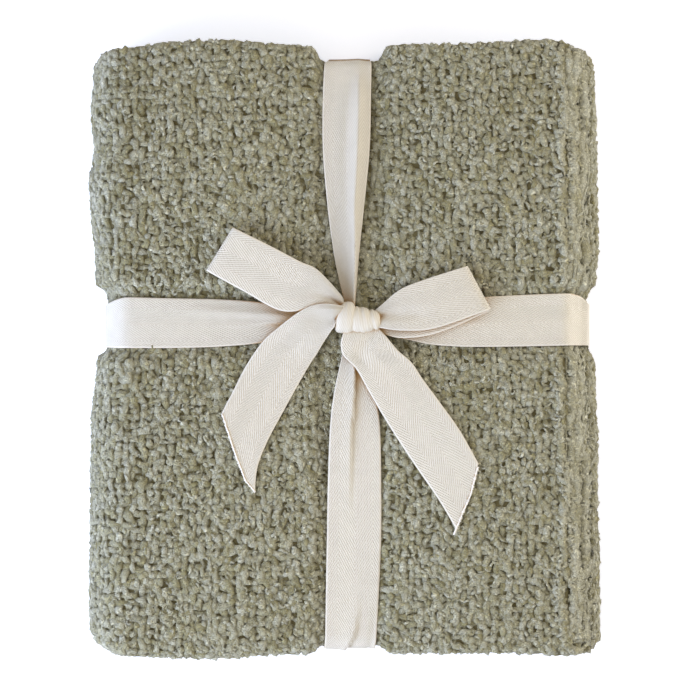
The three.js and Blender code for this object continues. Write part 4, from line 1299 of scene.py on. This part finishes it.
# The selvedges are packed closer, so they make a pale line along each edge
thread_colour = add_node(
    tree, "ShaderNodeMix",
    {"Factor": selvedge.outputs["Result"], "A": linear("#E8E4DA"), "B": woven.outputs["Result"]},
    data_type="RGBA",
)
cloudy = add_node(
    tree, "ShaderNodeMapRange",
    {"Value": clouds.outputs["Fac"], "From Min": 0.3, "From Max": 0.7, "To Min": 0.96, "To Max": 1.02},
)
tinted = add_node(
    tree, "ShaderNodeVectorMath",
    {0: thread_colour.outputs["Result"], 1: cloudy.outputs["Result"]}, operation="MULTIPLY",
)
# Painted shade: deep in a fold, as far as the fold hides the open sky within 16 mm, the colour is tinted tan,
# where bounced light would turn warm
open_sky = add_node(tree, "ShaderNodeAmbientOcclusion", {"Distance": 0.016}, samples=6)
in_fold = add_node(
    tree, "ShaderNodeMapRange", {"Value": open_sky.outputs["AO"], "From Min": 0.42, "From Max": 0.72},
)
painted_fold_shade = add_node(
    tree, "ShaderNodeMix",
    {"Factor": in_fold.outputs["Result"], "A": linear("#DDB277"), "B": (1, 1, 1, 1)},
    data_type="RGBA", name="painted fold shade",
)
warmed = add_node(
    tree, "ShaderNodeVectorMath",
    {0: tinted.outputs["Vector"], 1: painted_fold_shade.outputs["Result"]}, operation="MULTIPLY",
)
twill_bump = add_node(
    tree, "ShaderNodeBump", {"Height": lit.outputs["Result"], "Strength": 0.8, "Distance": 0.0005},
    name="relief",
)
set_inputs(tree, shader, {
    "Base Color": warmed.outputs["Vector"], "Normal": twill_bump.outputs["Normal"],
    "Roughness": 0.8, "Sheen Weight": 0.15, "Specular IOR Level": 0.3,
})

# The same twill pulled tight in the knot, where its relief is flattened and it looks smoother, with a paler
# painted shade in its folds
gathered_twill = twill.copy()
gathered_twill.name = "twill pulled tight"
gathered_twill.node_tree.nodes["relief"].inputs["Strength"].default_value = 0.25
gathered_twill.node_tree.nodes["painted fold shade"].inputs["A"].default_value = linear("#EBD3AD")

# Frayed cut ends
# The last threads are packed to a white line along each cut, and short loose warp threads stand out from
# it. They are 0.5 mm thick, more than twice the real thread, to show at this size.

FRAY_RADIUS = 0.25
PACKED_RADIUS = 0.6
fray = Yarns()
for cut, count in ((LEFT_CUT, 90), (RIGHT_CUT, 110)):
    line = np.array(cut)
    bends = lengths_along(line)
    along = table_along(line, bends, np.linspace(0, bends[-1], 40))
    along = along + rng.uniform(-0.2, 0.2, along.shape)
    level = cloth_top(along[:, 0], along[:, 1]) + 1.7
    path = np.concatenate([along, level[:, None]], -1)[None]
    upwards = np.broadcast_to(np.array([0.0, 0, 1]), path.shape)
    fray.add(path, upwards, np.full(path.shape[:2], PACKED_RADIUS), 4, 0 * level[None])
    at = rng.uniform(0, bends[-1], count)
    root = table_along(line, bends, at)
    a_step_on = np.minimum(at + 1, bends[-1])
    ahead = table_along(line, bends, a_step_on) - table_along(line, bends, a_step_on - 1)
    away = np.stack([ahead[:, 1], -ahead[:, 0]], -1)
    reach = np.array([-0.8, 0.3, 1])[None, :, None] * rng.uniform(0.3, 1, (count, 1, 1))
    bent = np.array([0, 0.2, 1])[None, :, None] * rng.uniform(-0.9, 0.9, (count, 1, 1))
    flat_path = root[:, None] + away[:, None] * reach + ahead[:, None] * bent
    level = cloth_top(flat_path[..., 0], flat_path[..., 1]) + 1.6 + rng.uniform(-0.3, 0.4, (count, 1))
    path = np.concatenate([flat_path, level[..., None]], -1)
    upwards = np.broadcast_to(np.array([0.0, 0, 1]), path.shape)
    fray.add(path, upwards, np.full(level.shape, FRAY_RADIUS), 3, 0 * level)

# Undyed cotton yarn, spun: nearly white, a little darker where it is spun tighter, every millimetre or so
loose_thread, tree, shader = new_material("loose cotton thread")
coords = add_node(tree, "ShaderNodeTexCoord")
spun = add_node(
    tree, "ShaderNodeTexNoise", {"Vector": coords.outputs["Object"], "Scale": 1 / 0.0012, "Detail": 1},
)
paleness = add_node(tree, "ShaderNodeValToRGB", {"Fac": spun.outputs["Fac"]})
paleness.color_ramp.elements[0].color = linear("#F4EFE6")
paleness.color_ramp.elements[0].position = 0.3
paleness.color_ramp.elements[1].color = linear("#FFFEFB")
paleness.color_ramp.elements[1].position = 0.55
set_inputs(tree, shader, {"Base Color": paleness.outputs["Color"], "Roughness": 0.8})
fray_threads = fray.piece("frayed_threads", loose_thread, "twill_tape")

# The tape as one piece
# Every part of the tape gets its thickness, and all are joined, because it is one length of cloth. The
# knot's turns are of the twill pulled tight.


def thicken(piece):
    bpy.ops.object.select_all(action="DESELECT")
    piece.select_set(True)
    bpy.context.view_layer.objects.active = piece
    solidify = piece.modifiers.new("thickness", "SOLIDIFY")
    solidify.thickness = TAPE_THICK * MM
    solidify.offset = 0
    bpy.ops.object.modifier_apply(modifier="thickness")


tape_pieces = [lengthwise, crosswise, left_loop, right_loop, left_end, right_end, *knot]
for piece in tape_pieces:
    piece.data.materials.append(gathered_twill if piece in knot else twill)
    thicken(piece)
bpy.ops.object.select_all(action="DESELECT")
for piece in tape_pieces:
    piece.select_set(True)
bpy.context.view_layer.objects.active = lengthwise
bpy.ops.object.join()
ribbon = lengthwise
ribbon.name = "ribbon_tape"
ribbon.data.name = "ribbon_tape"
bpy.ops.object.select_all(action="DESELECT")
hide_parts("ribbon")
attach(ribbon, "root")

# The studio
# A white table that glows faintly. Cool broad light comes from low on the left in front, as from a window,
# with a little blue sky light from the left. Warm light comes from a ceiling panel and from a reflector on
# the right.

bpy.ops.mesh.primitive_plane_add(size=6, location=(0, 0, -0.0005))
floor = bpy.context.object
floor.name = "table"
white, tree, shader = new_material("white painted table")
set_inputs(tree, shader, {
    "Base Color": linear("#FCFCFE"), "Roughness": 0.9, "Specular IOR Level": 0.1,
    "Emission Color": linear("#DCE8FF"), "Emission Strength": 0.46,
})
floor.data.materials.append(white)


def area_light(name, place, aim, size, watts, colour):
    light = bpy.data.lights.new(name, "AREA")
    light.shape = "DISK"
    light.size = size
    light.energy = watts
    light.color = linear(colour)[:3]
    lamp = bpy.data.objects.new(name, light)
    bpy.context.collection.objects.link(lamp)
    lamp.location = place
    lamp.rotation_euler = (Vector(aim) - Vector(place)).to_track_quat("-Z", "Y").to_euler()
    lamp.visible_camera = False


area_light("window", (-0.98, -0.76, 0.67), (0, 0, 0.05), size=1.3, watts=22.8, colour="#D8E5FF")
area_light("ceiling_panel", (0.1, 0.1, 2.6), (0, 0, 0), size=2.6, watts=20.3, colour="#FFF8EC")
area_light("reflector", (1.1, 0.3, 0.3), (0, 0, 0.05), size=0.8, watts=8, colour="#FFF9F0")
area_light("blue_sky", (-0.6, 0.05, 0.3), (-0.1, 0, 0.05), size=0.4, watts=0.75, colour="#8FB8FF")
world = bpy.data.worlds.new("pale room")
bpy.context.scene.world = world
world.use_nodes = True
background = world.node_tree.nodes["Background"]
set_inputs(world.node_tree, background, {"Color": linear("#FFF3E2"), "Strength": 0.42})
bpy.context.scene.view_settings.view_transform = "Standard"
bpy.context.scene.view_settings.look = "None"

# The camera
# It looks straight down from far off through a long lens, as on a copy stand. The photo's middle is
# 2.8 mm right of the stack's middle, and it takes in 432 mm.
LENS = 240
SENSOR_WIDE = 36
FRAME_WIDE = 0.432
camera_data = bpy.data.cameras.new("camera")
camera_data.lens = LENS
camera_data.sensor_width = SENSOR_WIDE
camera = bpy.data.objects.new("camera", camera_data)
bpy.context.collection.objects.link(camera)
AIM = (0.0028, -0.0003, 0.045)
camera.location = (AIM[0], AIM[1], AIM[2] + FRAME_WIDE * LENS / SENSOR_WIDE)
camera_data.clip_end = 50
bpy.context.scene.camera = camera
